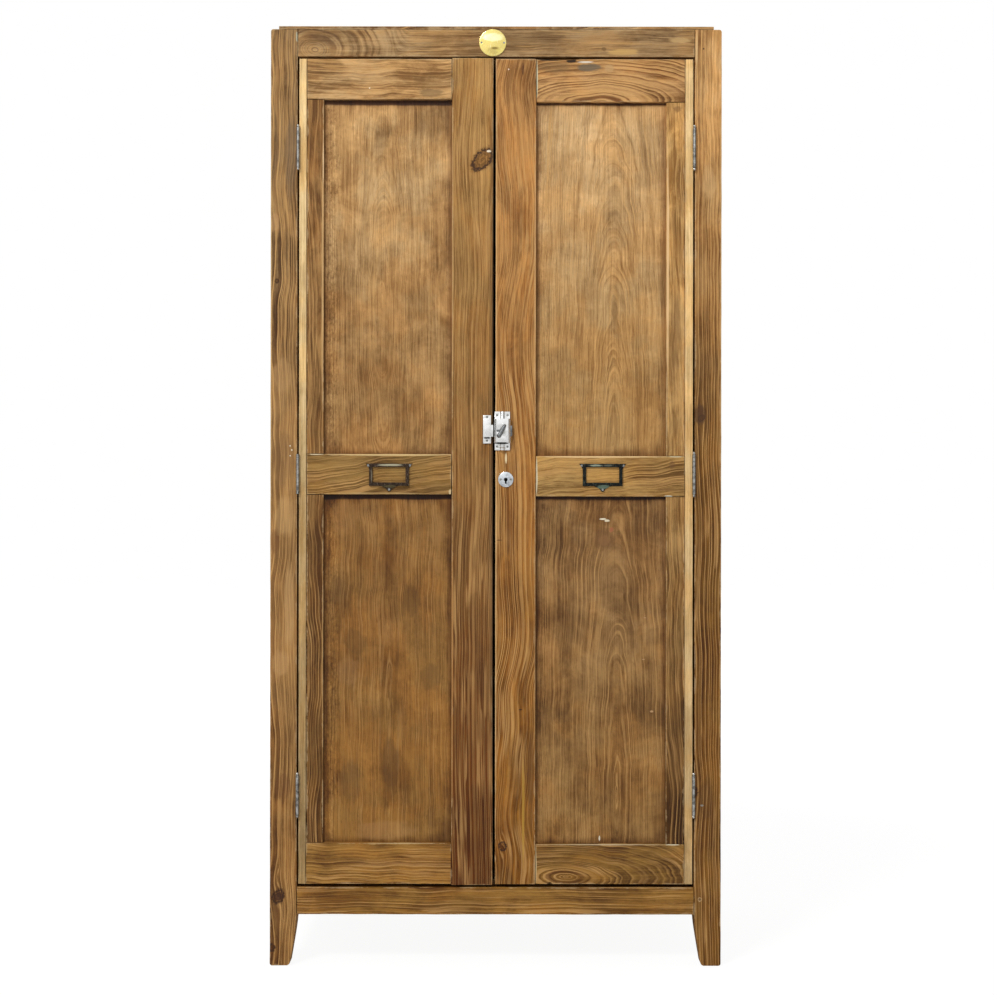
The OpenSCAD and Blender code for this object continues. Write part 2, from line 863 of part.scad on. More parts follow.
module left_post_leaves() {
    color(steel) left_hinge_places() hinge_leaf([0, 2, 4], [1, 3]);
}

module right_post_leaves() {
    color(steel) mirror([1, 0, 0]) left_hinge_places() hinge_leaf([0, 2, 4], [1, 3]);
}

// Only the middle hinge on the left has a plain pin
module hinge_pins() {
    color(steel) {
        for (i = [0:2]) translate([-hinge_x, front_y - hinge_proud, HINGES[i]]) hinge_pin(i != 1);
        mirror([1, 0, 0]) left_hinge_places() hinge_pin(true);
    }
}

module post_leaf_screws() {
    color(steel) both_sides() left_hinge_places() leaf_screws(false);
}

// Puts a door, drawn with its hinge edge on x = 0 and its front on y = 0, in its place
module at_left() {
    translate([-door_edge_x, front_y, 0]) children();
}

module at_right() {
    translate([door_edge_x, front_y, 0]) mirror([1, 0, 0]) children();
}

// The door's side of the hinges, in the door's own frame
module door_hinge_places() {
    for (z = HINGES) translate([-hinge_gap / 2, -hinge_proud, z]) mirror([1, 0, 0]) children();
}

module lipping(d) {
    difference() {
        board([0, 0, door_z0], [d[LIP], door_t, door_z1]);
        door_hinge_places() {
            leaf_recess();
            leaf_screws(true);
        }
    }
}

// A door panel, lower or upper, grown at its edges to cut the grooves
module door_panel(d, i, grow) {
    in = panel_in + grow;
    board([d[LIP] + d[HINGE] - in, panel_back, d[RAILS][i][1] - in],
        [d[W] - d[MEET] + in, panel_back + panel_t, d[RAILS][i + 1][0] + in]);
}

// The tenon of a door rail in the meeting stile
module door_tenon(d, rail, fit, room) {
    x = d[W] - d[MEET];
    board([x - room, (door_t - tenon_t) / 2 - fit, rail[0] + tenon_shoulder - fit],
        [x + door_tenon_l + room, (door_t + tenon_t) / 2 + fit, rail[1] - tenon_shoulder + fit]);
}

// The stile beside the lipping, let in behind the ends of the rails
module hinge_stile(d) {
    difference() {
        board([d[LIP], stile_back, door_z0], [d[LIP] + d[HINGE], door_t, door_z1]);
        for (rail = d[RAILS])
            board([d[LIP] - over, -over, rail[0]], [d[LIP] + d[HINGE] + over, lap_t, rail[1]]);
        for (i = [0, 1]) door_panel(d, i, panel_room);
        door_hinge_places() leaf_screws(true);
    }
}

module meeting_stile(d) {
    difference() {
        board([d[W] - d[MEET], 0, door_z0 - d[OVER]], [d[W], door_t, door_z1 + d[OVER]]);
        for (rail = d[RAILS]) door_tenon(d, rail, joint_fit, panel_room);
        for (i = [0, 1]) door_panel(d, i, panel_room);
    }
}

// A door rail with its lap over the hinge stile and its tenon in the meeting stile
module door_rail(d, i) {
    rail = d[RAILS][i];
    difference() {
        union() {
            board([d[LIP] + d[HINGE], 0, rail[0]], [d[W] - d[MEET], door_t, rail[1]]);
            board([d[LIP], 0, rail[0]], [d[LIP] + d[HINGE], lap_t, rail[1]]);
            door_tenon(d, rail, 0, 0);
        }
        for (j = [0, 1]) door_panel(d, j, panel_room);
        door_hinge_places() leaf_screws(true);
    }
}

module left_lipping() {
    color(pale_pine) at_left() lipping(LEFT);
}

module right_lipping() {
    color(pale_pine) at_right() lipping(RIGHT);
}

module left_hinge_stile() {
    color(pine) at_left() hinge_stile(LEFT);
}

module right_hinge_stile() {
    color(pine) at_right() hinge_stile(RIGHT);
}

module left_meeting_stile() {
    color(pine) difference() {
        at_left() meeting_stile(LEFT);
        left_fitting_holes();
    }
}

module right_meeting_stile() {
    color(pine) difference() {
        at_right() meeting_stile(RIGHT);
        translate([key_x, front_y, key_z]) keyhole(door_t);
        right_fitting_holes();
    }
}

module left_door_top_rail() {
    color(pine) difference() {
        at_left() door_rail(LEFT, 2);
        left_fitting_holes();
    }
}

module right_door_top_rail() {
    color(pine) at_right() door_rail(RIGHT, 2);
}

module left_door_middle_rail() {
    color(pine) difference() {
        at_left() door_rail(LEFT, 1);
        left_fitting_holes();
    }
}

module right_door_middle_rail() {
    color(pine) difference() {
        at_right() door_rail(RIGHT, 1);
        right_fitting_holes();
    }
}

module left_door_bottom_rail() {
    color(pine) difference() {
        at_left() door_rail(LEFT, 0);
        left_fitting_holes();
    }
}

module right_door_bottom_rail() {
    color(pine) at_right() door_rail(RIGHT, 0);
}

module left_upper_panel() {
    color(panel_wood) at_left() door_panel(LEFT, 1, 0);
}

module left_lower_panel() {
    color(panel_wood) at_left() door_panel(LEFT, 0, 0);
}

module right_upper_panel() {
    color(panel_wood) at_right() door_panel(RIGHT, 1, 0);
}

module right_lower_panel() {
    color(panel_wood) at_right() door_panel(RIGHT, 0, 0);
}

module left_door_leaves() {
    color(steel) at_left() door_hinge_places() hinge_leaf([1, 3], [0, 2, 4]);
}

module right_door_leaves() {
    color(steel) at_right() door_hinge_places() hinge_leaf([1, 3], [0, 2, 4]);
}

module left_door_leaf_screws() {
    color(steel) at_left() door_hinge_places() leaf_screws(false);
}

module right_door_leaf_screws() {
    color(steel) at_right() door_hinge_places() leaf_screws(false);
}

// The screw places of a label holder, on the front of its rail
module label_screw_places(place) {
    for (p = [[-label_screw_x, label_screw_z], [label_screw_x, label_screw_z], [0, tab_screw_z]])
        translate([place[0] + p[0], front_y - label_t, place[1] + p[1]]) rotate([90, 0, 0]) children();
}

// The flat outline of a label holder: frame, two ears and a tab that narrows in a hollow curve
module label_outline() {
    half = label_w / 2;
    high = label_h / 2;
    ear = [for (i = [0:label_steps])
        [half + ear_out * pow(i / label_steps, 2), high - ear_h * (1 - i / label_steps)]];
    tab = [for (i = [0:label_steps])
        [tip_r + (tab_w / 2 - tip_r) * (1 - i / label_steps),
            -high - (tab_l - tip_r) * pow(i / label_steps, 2)]];
    for (s = [0, 1]) mirror([s, 0]) {
        polygon(concat([[0, high], [0, -high]], [[half, -high]], ear));
        polygon(concat([[0, -high]], tab, [[0, -high - tab_l + tip_r]]));
    }
    translate([0, tab_screw_z]) circle(r = tip_r);
}

module label_holder(place) {
    half = label_w / 2;
    high = label_h / 2;
    difference() {
        translate([place[0], front_y, place[1]]) difference() {
            union() {
                rotate([90, 0, 0]) linear_extrude(label_t) label_outline();
                board([-half, -label_d, -high], [half, 0, high]);
            }
            board([label_rim - half, -label_d - over, label_rim - high],
                [half - label_rim, over, high - label_rim]);
            board([card_wall - half, -label_t, card_wall - high],
                [half - card_wall, over, high - card_wall]);
        }
        label_screw_places(place) screw_hole(small_r, small_head_r, small_l);
    }
}

module left_label_holder() {
    color(bronze) label_holder(LEFT_LABEL);
}

module right_label_holder() {
    color(patina) label_holder(RIGHT_LABEL);
}

// The screws of the latch keeper
module keeper_screw_places() {
    for (z = [keeper_z + (keeper_h + keeper_top_lug) / 2, keeper_z - (keeper_h + keeper_lug) / 2])
        translate([(keeper_x0 + keeper_x1) / 2, front_y - flange_t, z]) rotate([90, 0, 0]) children();
}

// The room of the latch bolt between two places along x, with its clearance
module bolt_room(x0, x1) {
    board([x0, front_y + bolt_y0 - bolt_fit, latch_z - bolt_h / 2 - bolt_fit],
        [x1, front_y - bolt_back + bolt_fit, latch_z + bolt_h / 2 + bolt_fit]);
}

module latch_keeper() {
    color(nickel) difference() {
        union() {
            board([keeper_x0, front_y - keeper_d, keeper_z - keeper_h / 2],
                [keeper_x1, front_y, keeper_z + keeper_h / 2]);
            board([keeper_x0, front_y - flange_t, keeper_z - keeper_h / 2 - keeper_lug],
                [keeper_x1, front_y, keeper_z + keeper_h / 2 + keeper_top_lug]);
            board([keeper_x1, front_y + bolt_y0 - bolt_fit - mouth_wall, latch_z - bolt_h / 2 - mouth_wall],
                [left_edge_x - mouth_in, front_y, latch_z + bolt_h / 2 + mouth_wall]);
        }
        bolt_room(bolt_x0 - bolt_throw - bolt_end_gap, left_edge_x);
        keeper_screw_places() screw_hole(small_r, small_head_r, small_l);
    }
}

module case_screw_places() {
    for (x = [-case_screw_x, case_screw_x]) for (z = [-case_screw_z, case_screw_z])
        translate([case_mid + x, front_y - flange_t, latch_z + z]) rotate([90, 0, 0]) children();
}

// The latch case: a bevelled body, two flanges with a rib on each, and the slot of the knob
module latch_case() {
    half = case_h / 2;
    color(nickel) difference() {
        union() {
            translate([0, front_y, latch_z - half]) linear_extrude(case_h) polygon([
                [case_x0, 0], [case_x1, 0], [case_x1, case_bevel - case_d], [case_x1 - case_bevel, -case_d],
                [case_x0 + case_bevel, -case_d], [case_x0, case_bevel - case_d]
            ]);
            board([case_x0 + over, front_y - flange_t, latch_z - half - flange_h],
                [case_x1 - over, front_y, latch_z + half + flange_h]);
            translate([case_mid, front_y - flange_t, latch_z])
                cylinder(h = case_h + 2 * flange_h, r = case_rib_r, center = true);
        }
        board([case_x0, front_y, latch_z - case_h], [case_x1, front_y + case_rib_r, latch_z + case_h]);
        bolt_room(case_x0 - over, case_x1 + over);
        translate([0, front_y, latch_z]) {
            board([stem_x - bolt_throw, -case_d - over, -stem_r - stem_fit],
                [stem_x, bolt_y0, stem_r + stem_fit]);
            for (x = [stem_x - bolt_throw, stem_x])
                translate([x, bolt_y0, 0]) rotate([90, 0, 0])
                    cylinder(h = case_d, r = stem_r + stem_fit);
        }
        case_screw_places() screw_hole(small_r, small_head_r, small_l);
    }
}

// The latch bolt: a flat bar, a stem through the slot and a slanting drop-shaped knob
module latch_bolt() {
    spread = knob_l - knob_r - knob_tip_r;
    bolt_mid = bolt_back + bolt_t / 2;
    color(nickel) {
        board([bolt_x0, front_y + bolt_y0, latch_z - bolt_h / 2],
            [bolt_x1, front_y - bolt_back, latch_z + bolt_h / 2]);
        translate([stem_x, front_y - bolt_mid, latch_z]) rotate([90, 0, 0])
            cylinder(h = latch_proud - knob_r - bolt_mid, r = stem_r);
        translate([stem_x, front_y - latch_proud + knob_r, latch_z]) rotate([0, knob_tilt, 0])
            translate([0, 0, -spread / 2]) {
                sphere(r = knob_r);
                cylinder(h = spread, r1 = knob_r, r2 = knob_tip_r);
                translate([0, 0, spread]) sphere(r = knob_tip_r);
            }
    }
}

// A keyhole through wood or metal, from the front back to a depth
module keyhole(depth) {
    translate([0, -over, 0]) rotate([-90, 0, 0]) cylinder(h = depth + 2 * over, r = keyhole_r);
    board([-keyhole_w / 2, -over, -keyhole_l], [keyhole_w / 2, depth + over, 0]);
}

module plate_screw_places() {
    for (s = [-1, 1])
        translate([key_x + s * plate_screw_x, front_y - plate_t - plate_rise / 2, key_z])
            rotate([90, 0, 0]) children();
}

module keyhole_plate() {
    color(nickel) difference() {
        translate([key_x, front_y, key_z]) rotate([90, 0, 0]) dome(plate_r, plate_t, plate_rise);
        translate([key_x, front_y - plate_t - plate_rise, key_z]) keyhole(plate_t + plate_rise);
        plate_screw_places() screw_hole(small_r, small_head_r, small_l);
    }
}

module lock_screw_places() {
    for (x = [lock_x0 + lock_screw_in, lock_x1 - lock_screw_in]) for (s = [-1, 1])
        translate([x, front_y + door_t + lock_d, lock_z + s * (lock_h / 2 - lock_screw_in)])
            rotate([-90, 0, 0]) children();
}

// The room of the lock bolt between two places along x, with its clearance
module lock_bolt_room(x0, x1) {
    board([x0, front_y + lock_bolt_y - lock_fit, lock_bolt_z - lock_bolt_h / 2 - lock_fit],
        [x1, front_y + lock_bolt_y + lock_bolt_t + lock_fit, lock_bolt_z + lock_bolt_h / 2 + lock_fit]);
}

// The lock case: a shallow box on the back of the door, with solid corners for its screws
module lock_case() {
    y0 = front_y + door_t;
    corner = 2 * lock_screw_in;
    color(steel) difference() {
        board([lock_x0, y0, lock_z - lock_h / 2], [lock_x1, y0 + lock_d, lock_z + lock_h / 2]);
        difference() {
            board([lock_x0 + lock_wall, y0 + lock_wall, lock_z - lock_h / 2 + lock_wall],
                [lock_x1 - lock_wall, y0 + lock_d - lock_wall, lock_z + lock_h / 2 - lock_wall]);
            for (x = [lock_x0, lock_x1 - corner])
                for (z = [lock_z - lock_h / 2, lock_z + lock_h / 2 - corner])
                    board([x, y0, z], [x + corner, y0 + lock_d, z + corner]);
        }
        lock_bolt_room(lock_x0 - over, lock_x1 - lock_wall);
        translate([key_x, y0, key_z]) keyhole(lock_wall);
        lock_screw_places() screw_hole(screw_r, screw_head_r, screw_l + lock_d / 2);
    }
}

module lock_bolt() {
    color(brass) board([lock_x0 + lock_fit, front_y + lock_bolt_y, lock_bolt_z - lock_bolt_h / 2],
        [lock_x1 - lock_wall - lock_tail_gap, front_y + lock_bolt_y + lock_bolt_t,
            lock_bolt_z + lock_bolt_h / 2]);
}

module strike_screw_places() {
    mid = (strike_x0 + strike_x1) / 2;
    for (s = [-1, 1])
        translate([mid, front_y + door_t + flange_t, lock_bolt_z + s * (strike_h + strike_lug) / 2])
            rotate([-90, 0, 0]) children();
}

module lock_strike() {
    y0 = front_y + door_t;
    color(steel) difference() {
        union() {
            board([strike_x0, y0, lock_bolt_z - strike_h / 2],
                [strike_x1, y0 + lock_d, lock_bolt_z + strike_h / 2]);
            board([strike_x0, y0, lock_bolt_z - strike_h / 2 - strike_lug],
                [strike_x1, y0 + flange_t, lock_bolt_z + strike_h / 2 + strike_lug]);
        }
        lock_bolt_room(strike_x0 + lock_wall, strike_x1 + over);
        strike_screw_places() screw_hole(small_r, small_head_r, small_l);
    }
}

// A bolt inside the left door, drawn at the top: the end of its rod is at z = 0 and it goes up
module inner_plate() {
    low = -rod_plate_end - rod_plate_l;
    difference() {
        union() {
            board([-rod_plate_w / 2, 0, low], [rod_plate_w / 2, rod_plate_t, -rod_plate_end]);
            for (z = [low + rod_plate_end, -2 * rod_plate_end - guide_l])
                board([-guide_w / 2, 0, z], [guide_w / 2, guide_d, z + guide_l]);
        }
        translate([0, rod_off, low - over]) cylinder(h = rod_plate_l + 2 * over, r = rod_r + rod_fit);
        inner_screw_places() screw_hole(small_r, small_head_r, small_l);
    }
}

module inner_screw_places() {
    mid = -rod_plate_end - rod_plate_l / 2;
    x = rod_plate_w / 2 - small_head_r - over;
    z = rod_plate_l / 2 - 2 * rod_plate_end - guide_l - small_head_r;
    for (sx = [-1, 1]) for (sz = [-1, 1])
        translate([sx * x, rod_plate_t, mid + sz * z]) rotate([-90, 0, 0]) children();
}

module inner_rod() {
    mid = -rod_plate_end - rod_plate_l / 2;
    translate([0, rod_off, -rod_l]) cylinder(h = rod_l, r = rod_r);
    translate([0, rod_off, mid - rod_throw / 2]) rotate([-90, 0, 0]) {
        cylinder(h = rod_r + rod_stem_l, r = rod_stem_r);
        translate([0, 0, rod_r + rod_stem_l]) sphere(r = rod_ball_r);
    }
}

module at_upper_bolt() {
    translate([rod_x, front_y + door_t, rod_top_z]) children();
}

module at_lower_bolt() {
    translate([rod_x, front_y + door_t, rod_low_z]) mirror([0, 0, 1]) children();
}

module inner_bolt_plates() {
    color(steel) {
        at_upper_bolt() inner_plate();
        at_lower_bolt() inner_plate();
    }
}

module upper_inner_bolt() {
    color(steel) at_upper_bolt() inner_rod();
}

module lower_inner_bolt() {
    color(steel) at_lower_bolt() inner_rod();
}

// Every small screw on the left door, or its hole
module left_fitting_places() {
    label_screw_places(LEFT_LABEL) children();
    keeper_screw_places() children();
    strike_screw_places() children();
    at_upper_bolt() inner_screw_places() children();
    at_lower_bolt() inner_screw_places() children();
}

module left_fitting_holes() {
    left_fitting_places() screw_hole(small_r, small_head_r, small_l);
}

module left_fitting_screws() {
    color(steel) left_fitting_places() screw(small_r, small_head_r, small_l);
}

// Every small screw on the right door, and the longer ones of the lock
module right_fitting_places() {
    label_screw_places(RIGHT_LABEL) children();
    case_screw_places() children();
    plate_screw_places() children();
}

module right_fitting_holes() {
    right_fitting_places() screw_hole(small_r, small_head_r, small_l);
    lock_screw_places() screw_hole(screw_r, screw_head_r, screw_l + lock_d / 2);
}

module right_fitting_screws() {
    color(steel) {
        right_fitting_places() screw(small_r, small_head_r, small_l);
        lock_screw_places() screw(screw_r, screw_head_r, screw_l + lock_d / 2);
    }
}

front_left_post();
front_right_post();
rear_posts();
front_top_rail();
front_bottom_rail();
rear_rails();
left_side_rails();
right_side_rails();
left_side_panels();
right_side_panels();
back_boards();
top_panel();
top_panel_nails();
floor_boards();
door_stop();
shelf_cleats();
lower_shelf();
middle_shelf();
upper_shelf();
medallion();
medallion_nails();
left_post_leaves();
right_post_leaves();
hinge_pins();
post_leaf_screws();
left_lipping();
left_hinge_stile();
left_meeting_stile();
left_door_top_rail();
left_door_middle_rail();
left_door_bottom_rail();
left_upper_panel();
left_lower_panel();
left_door_leaves();
left_door_leaf_screws();
left_label_holder();
latch_keeper();
lock_strike();
inner_bolt_plates();
left_fitting_screws();
right_lipping();
right_hinge_stile();
right_meeting_stile();
right_door_top_rail();
right_door_middle_rail();
right_door_bottom_rail();
right_upper_panel();
right_lower_panel();
right_door_leaves();
right_door_leaf_screws();
right_label_holder();
latch_case();
keyhole_plate();
lock_case();
right_fitting_screws();
latch_bolt();
lock_bolt();
upper_inner_bolt();
lower_inner_bolt();
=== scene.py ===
"""Two-door cabinet of stained pine: the looks of its boards, panels and fittings."""

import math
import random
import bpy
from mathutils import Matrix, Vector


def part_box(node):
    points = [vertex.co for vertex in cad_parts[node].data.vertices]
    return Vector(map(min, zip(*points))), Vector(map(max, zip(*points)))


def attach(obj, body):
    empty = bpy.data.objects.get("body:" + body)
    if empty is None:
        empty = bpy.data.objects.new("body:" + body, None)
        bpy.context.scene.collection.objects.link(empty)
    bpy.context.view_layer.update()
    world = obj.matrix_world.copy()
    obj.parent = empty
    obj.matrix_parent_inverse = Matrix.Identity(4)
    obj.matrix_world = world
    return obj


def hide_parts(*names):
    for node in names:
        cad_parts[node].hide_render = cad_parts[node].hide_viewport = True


bl_info = {
    "name": "Workshop cabinet",
    "version": (1, 0, 0),
    "blender": (4, 5, 0),
    "location": "View3D > Sidebar > Cabinet",
    "description": "Finishes a two-door cabinet of stained pine with worn fittings",
    "category": "Object",
}

import bpy
from bpy.props import FloatProperty, FloatVectorProperty, PointerProperty
from mathutils import Quaternion, Vector

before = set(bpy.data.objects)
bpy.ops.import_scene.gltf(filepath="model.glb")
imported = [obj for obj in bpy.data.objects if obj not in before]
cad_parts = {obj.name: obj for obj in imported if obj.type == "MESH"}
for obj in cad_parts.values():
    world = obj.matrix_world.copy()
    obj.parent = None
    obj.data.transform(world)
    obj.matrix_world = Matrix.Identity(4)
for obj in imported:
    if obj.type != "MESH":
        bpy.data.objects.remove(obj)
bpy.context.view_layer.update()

FRONT = -214  # the front face of the posts, rails and doors, in mm
PANEL_FACE = -205  # the front face of the door panels
METAL_FACE = -222  # about where the fronts of the fittings are
LEFT_VIEW = (-330, -84.9)  # what shows of the left door's panels, across
RIGHT_VIEW = (76.5, 326)
UPPER_VIEW = (979.5, 1658)
LOWER_VIEW = (234.5, 901)
BETWEEN_POSTS = (-380.5, 380.5)  # the ends of the rails, without the tenons that go into other boards
LEFT_RAILS = (-363, -84.9)
RIGHT_RAILS = (76.5, 362)
STAIN = (150, 112, 68)  # the stain that every board's own shade is measured against
ORIGIN = (0.0, 0.0, 0.0)


# Sizes and colours

def swatch(name, description, red, green, blue):
    """A colour setting, given as the values that a screen shows."""
    return FloatVectorProperty(name=name, description=description, subtype="COLOR_GAMMA", size=3,
                               min=0.0, max=1.0, default=(red / 255, green / 255, blue / 255))


def distance(name, description, default, low, high):
    """A setting in metres."""
    return FloatProperty(name=name, description=description, default=default, min=low, max=high,
                         unit="LENGTH")


class CabinetWood(bpy.types.PropertyGroup):
    """Colours of the boards and panels, and how far their edges are worn"""

    stain: swatch("Stain", "Stained pine of the posts, rails and stiles", *STAIN)
    line: swatch("Pale lines", "Soft wood between the growth rings, where the stain wore off", 208, 160, 98)
    bare: swatch("Bare wood", "Wood that shows where the stain is rubbed off", 214, 184, 138)
    inside: swatch("Inside", "Plain boards of the back, floor and shelves", 178, 142, 96)
    knot: swatch("Knots", "Dark heart of the knots", 58, 36, 22)
    ring_dark: FloatProperty(name="Ring darkness", description="How dark the growth rings are",
                             default=0.8, min=0.0, max=1.0, subtype="FACTOR")
    arris: distance("Arris", "Rounding of the boards' long edges", 0.0014, 0.0002, 0.004)
    rubbing: distance("Rubbing", "Deepest wear of the boards' edges", 0.0012, 0.0, 0.003)
    post_end: distance("Post ends", "Rounding of the outer ends of the posts", 0.006, 0.001, 0.012)


class CabinetMetal(bpy.types.PropertyGroup):
    """Colours of the fittings"""

    nickel: swatch("Nickel", "Latch, keeper and keyhole plate", 240, 241, 240)
    steel: swatch("Steel", "Hinges, screws and inside fittings", 186, 186, 182)
    bronze: swatch("Dark bronze", "Left label holder", 62, 50, 40)
    patina: swatch("Patina", "Green bloom on the right label holder", 66, 92, 84)
    brass: swatch("Brass", "Medallion and lock bolt", 240, 220, 134)
    edge: distance("Edge", "Rounding of the sheet metal's edges", 0.00035, 0.0001, 0.001)


class CabinetStage(bpy.types.PropertyGroup):
    """Where the camera and the lamps stand"""

    away: distance("Distance", "From the front of the doors to the camera", 3.0, 1.0, 10.0)
    eye: distance("Eye height", "Height of the camera", 0.8976, 0.1, 2.5)
    aim: distance("Aim height", "Height that the camera looks at", 0.8976, 0.1, 2.5)
    side: distance("Sideways", "Place of the camera across the front", 0.0023, -1.0, 1.0)
    roll: FloatProperty(name="Roll", description="How far the camera leans to one side",
                        default=math.radians(0.08), min=-0.1, max=0.1, unit="ROTATION")
    lens: FloatProperty(name="Lens", description="Focal length", default=56.66, min=20.0, max=200.0,
                        unit="CAMERA")
    key: FloatProperty(name="Key lamp", description="Power of the large soft lamp", default=250.0,
                       min=0.0, max=1000.0, unit="POWER")
    fill: FloatProperty(name="Surroundings", description="Brightness of the room", default=0.5,
                        min=0.0, max=2.0)


def wood():
    return bpy.context.scene.cabinet_wood


def metal():
    return bpy.context.scene.cabinet_metal


def shaded(colour, *shade):
    """A screen colour made lighter or darker, by one factor or by one each for red, green and blue."""
    return [c * s for c, s in zip(colour, shade * 3 if len(shade) == 1 else shade)]


def tint(colour):
    """A screen colour in the linear values that a socket takes."""
    values = [min(max(c, 0.0), 1.0) for c in colour]
    return tuple(v / 12.92 if v <= 0.04045 else ((v + 0.055) / 1.055) ** 2.4 for v in values) + (1.0,)


def pine(high, low=None):
    """The stain shaded for one board, at its upper or left end and at its other end."""
    ratios = [[c / s for c, s in zip(shade, STAIN)] for shade in (high, low or high)]
    return [tint(shaded(wood().stain, *ratio)) for ratio in ratios]


# Laying nodes

class Value:
    """A node's output on a bench, so that sums of outputs can be written as sums."""

    def __init__(self, bench, socket):
        self.bench, self.socket = bench, socket

    def __add__(self, other):
        return self.bench.sum("ADD", self, other)

    def __sub__(self, other):
        return self.bench.sum("SUBTRACT", self, other)

    def __rsub__(self, other):
        return self.bench.sum("SUBTRACT", other, self)

    def __mul__(self, other):
        return self.bench.sum("MULTIPLY", self, other)

    def __truediv__(self, other):
        return self.bench.sum("DIVIDE", self, other)

    def __abs__(self):
        return self.bench.math("ABSOLUTE", self)


class Bench:
    """Lays nodes in one tree and hands back the values that they put out."""

    def __init__(self, tree):
        self.tree = tree

    def feed(self, socket, value):
        """Link a value, or set it where there is nothing to link."""
        if isinstance(value, Value):
            self.tree.links.new(value.socket, socket)
        elif socket.type == "VECTOR" and isinstance(value, (int, float)):
            socket.default_value = (value, value, value)
        elif value is not None:
            socket.default_value = value

    def node(self, kind, inputs=None, out=0, **settings):
        node = self.tree.nodes.new("ShaderNode" + kind)
        for name, value in settings.items():
            setattr(node, name, value)
        for key, value in (inputs or {}).items():
            self.feed(node.inputs[key], value)
        return Value(self, node.outputs[out])

    def math(self, operation, a, b=None):
        return self.node("Math", {0: a, 1: b}, operation=operation)

    def vector(self, operation, a, b=None):
        return self.node("VectorMath", {0: a, 1: b}, operation=operation)

    def sum(self, operation, a, b):
        """Add or scale two values, as vectors where one of them is a vector."""
        if any(isinstance(v, tuple) or isinstance(v, Value) and v.socket.type == "VECTOR" for v in (a, b)):
            return self.vector(operation, a, b)
        return self.math(operation, a, b)

    def length(self, vector):
        return self.node("VectorMath", {0: vector}, "Value", operation="LENGTH")

    def split(self, vector):
        node = self.tree.nodes.new("ShaderNodeSeparateXYZ")
        self.feed(node.inputs[0], vector)
        return [Value(self, socket) for socket in node.outputs]

    def join(self, x, y, z):
        return self.node("CombineXYZ", {0: x, 1: y, 2: z})

    def step(self, value, low, high, start=0.0, end=1.0):
        """A smooth step between two values; it falls where high is under low."""
        if high < low:
            low, high, start, end = high, low, end, start
        return self.node("MapRange", {0: value, 1: low, 2: high, 3: start, 4: end},
                         interpolation_type="SMOOTHSTEP")

    def mix(self, factor, a, b, blend="MIX"):
        return self.node("Mix", {0: factor, 6: a, 7: b}, 2, data_type="RGBA", blend_type=blend)

    def shade(self, factor, tone, colour):
        """A tone multiplied by a colour, as far as the factor says."""
        return self.mix(factor, tone, colour, "MULTIPLY")

    def cloud(self, vector, detail=3.0, rough=0.5, distortion=0.0):
        return self.node("TexNoise", {"Vector": vector, "Scale": 1.0, "Detail": detail, "Roughness": rough,
                                      "Lacunarity": 2.13, "Distortion": distortion})

    def wander(self, value):
        """A wave between -1 and 1 that changes along one value."""
        noise = self.node("TexNoise", {"W": value, "Scale": 1.0, "Detail": 2.0}, noise_dimensions="1D")
        return self.node("MapRange", {0: noise, 1: 0.2, 2: 0.8, 3: -1.0, 4: 1.0}, clamp=True)

    def chance(self, value):
        """A number between 0 and 1 that jumps with each whole value."""
        return self.node("TexWhiteNoise", {"W": value}, "Value", noise_dimensions="1D")

    def group(self, name, **inputs):
        """Lay one of the shared groups; its results come back by their names."""
        node = self.tree.nodes.new("ShaderNodeGroup")
        node.node_tree = GROUPS[name]
        for key, value in inputs.items():
            self.feed(node.inputs[key], value)
        return {socket.name: Value(self, socket) for socket in node.outputs}


class Finish(Bench):
    """A bench in a new material, with its shader's sockets and the place of a point in mm."""

    def __init__(self, name):
        self.material = bpy.data.materials.new(name)
        self.material.use_nodes = True
        super().__init__(self.material.node_tree)
        self.shader = self.tree.nodes["Principled BSDF"].inputs
        self.mm = self.node("TexCoord", out="Object") * 1000.0

    def lay(self, tone, rough, relief, strength, depth):
        """Colour, roughness and relief of the finish."""
        self.feed(self.shader["Base Color"], tone)
        self.feed(self.shader["Roughness"], rough)
        bump = self.node("Bump", {"Height": relief, "Strength": strength, "Distance": depth})
        self.feed(self.shader["Normal"], bump)
        return self.material


GROUPS = {}


def new_group(name, takes, numbers, vector=None):
    """A node group that gives some numbers and at most one vector: its bench, what comes in by name, and
    a function that takes what goes out."""
    tree = bpy.data.node_groups.new(name, "ShaderNodeTree")
    bench = Bench(tree)
    for label, default in takes.items():
        kind = "NodeSocketFloat" if isinstance(default, float) else "NodeSocketVector"
        socket = tree.interface.new_socket(name=label, in_out="INPUT", socket_type=kind)
        socket.default_value = default
    for label in numbers:
        tree.interface.new_socket(name=label, in_out="OUTPUT", socket_type="NodeSocketFloat")
    if vector:
        tree.interface.new_socket(name=vector, in_out="OUTPUT", socket_type="NodeSocketVector")
    take = {socket.name: Value(bench, socket) for socket in tree.nodes.new("NodeGroupInput").outputs}
    ends = tree.nodes.new("NodeGroupOutput").inputs

    def give(**results):
        for label, value in results.items():
            bench.feed(ends[label], value)
        return tree

    return bench, take, give


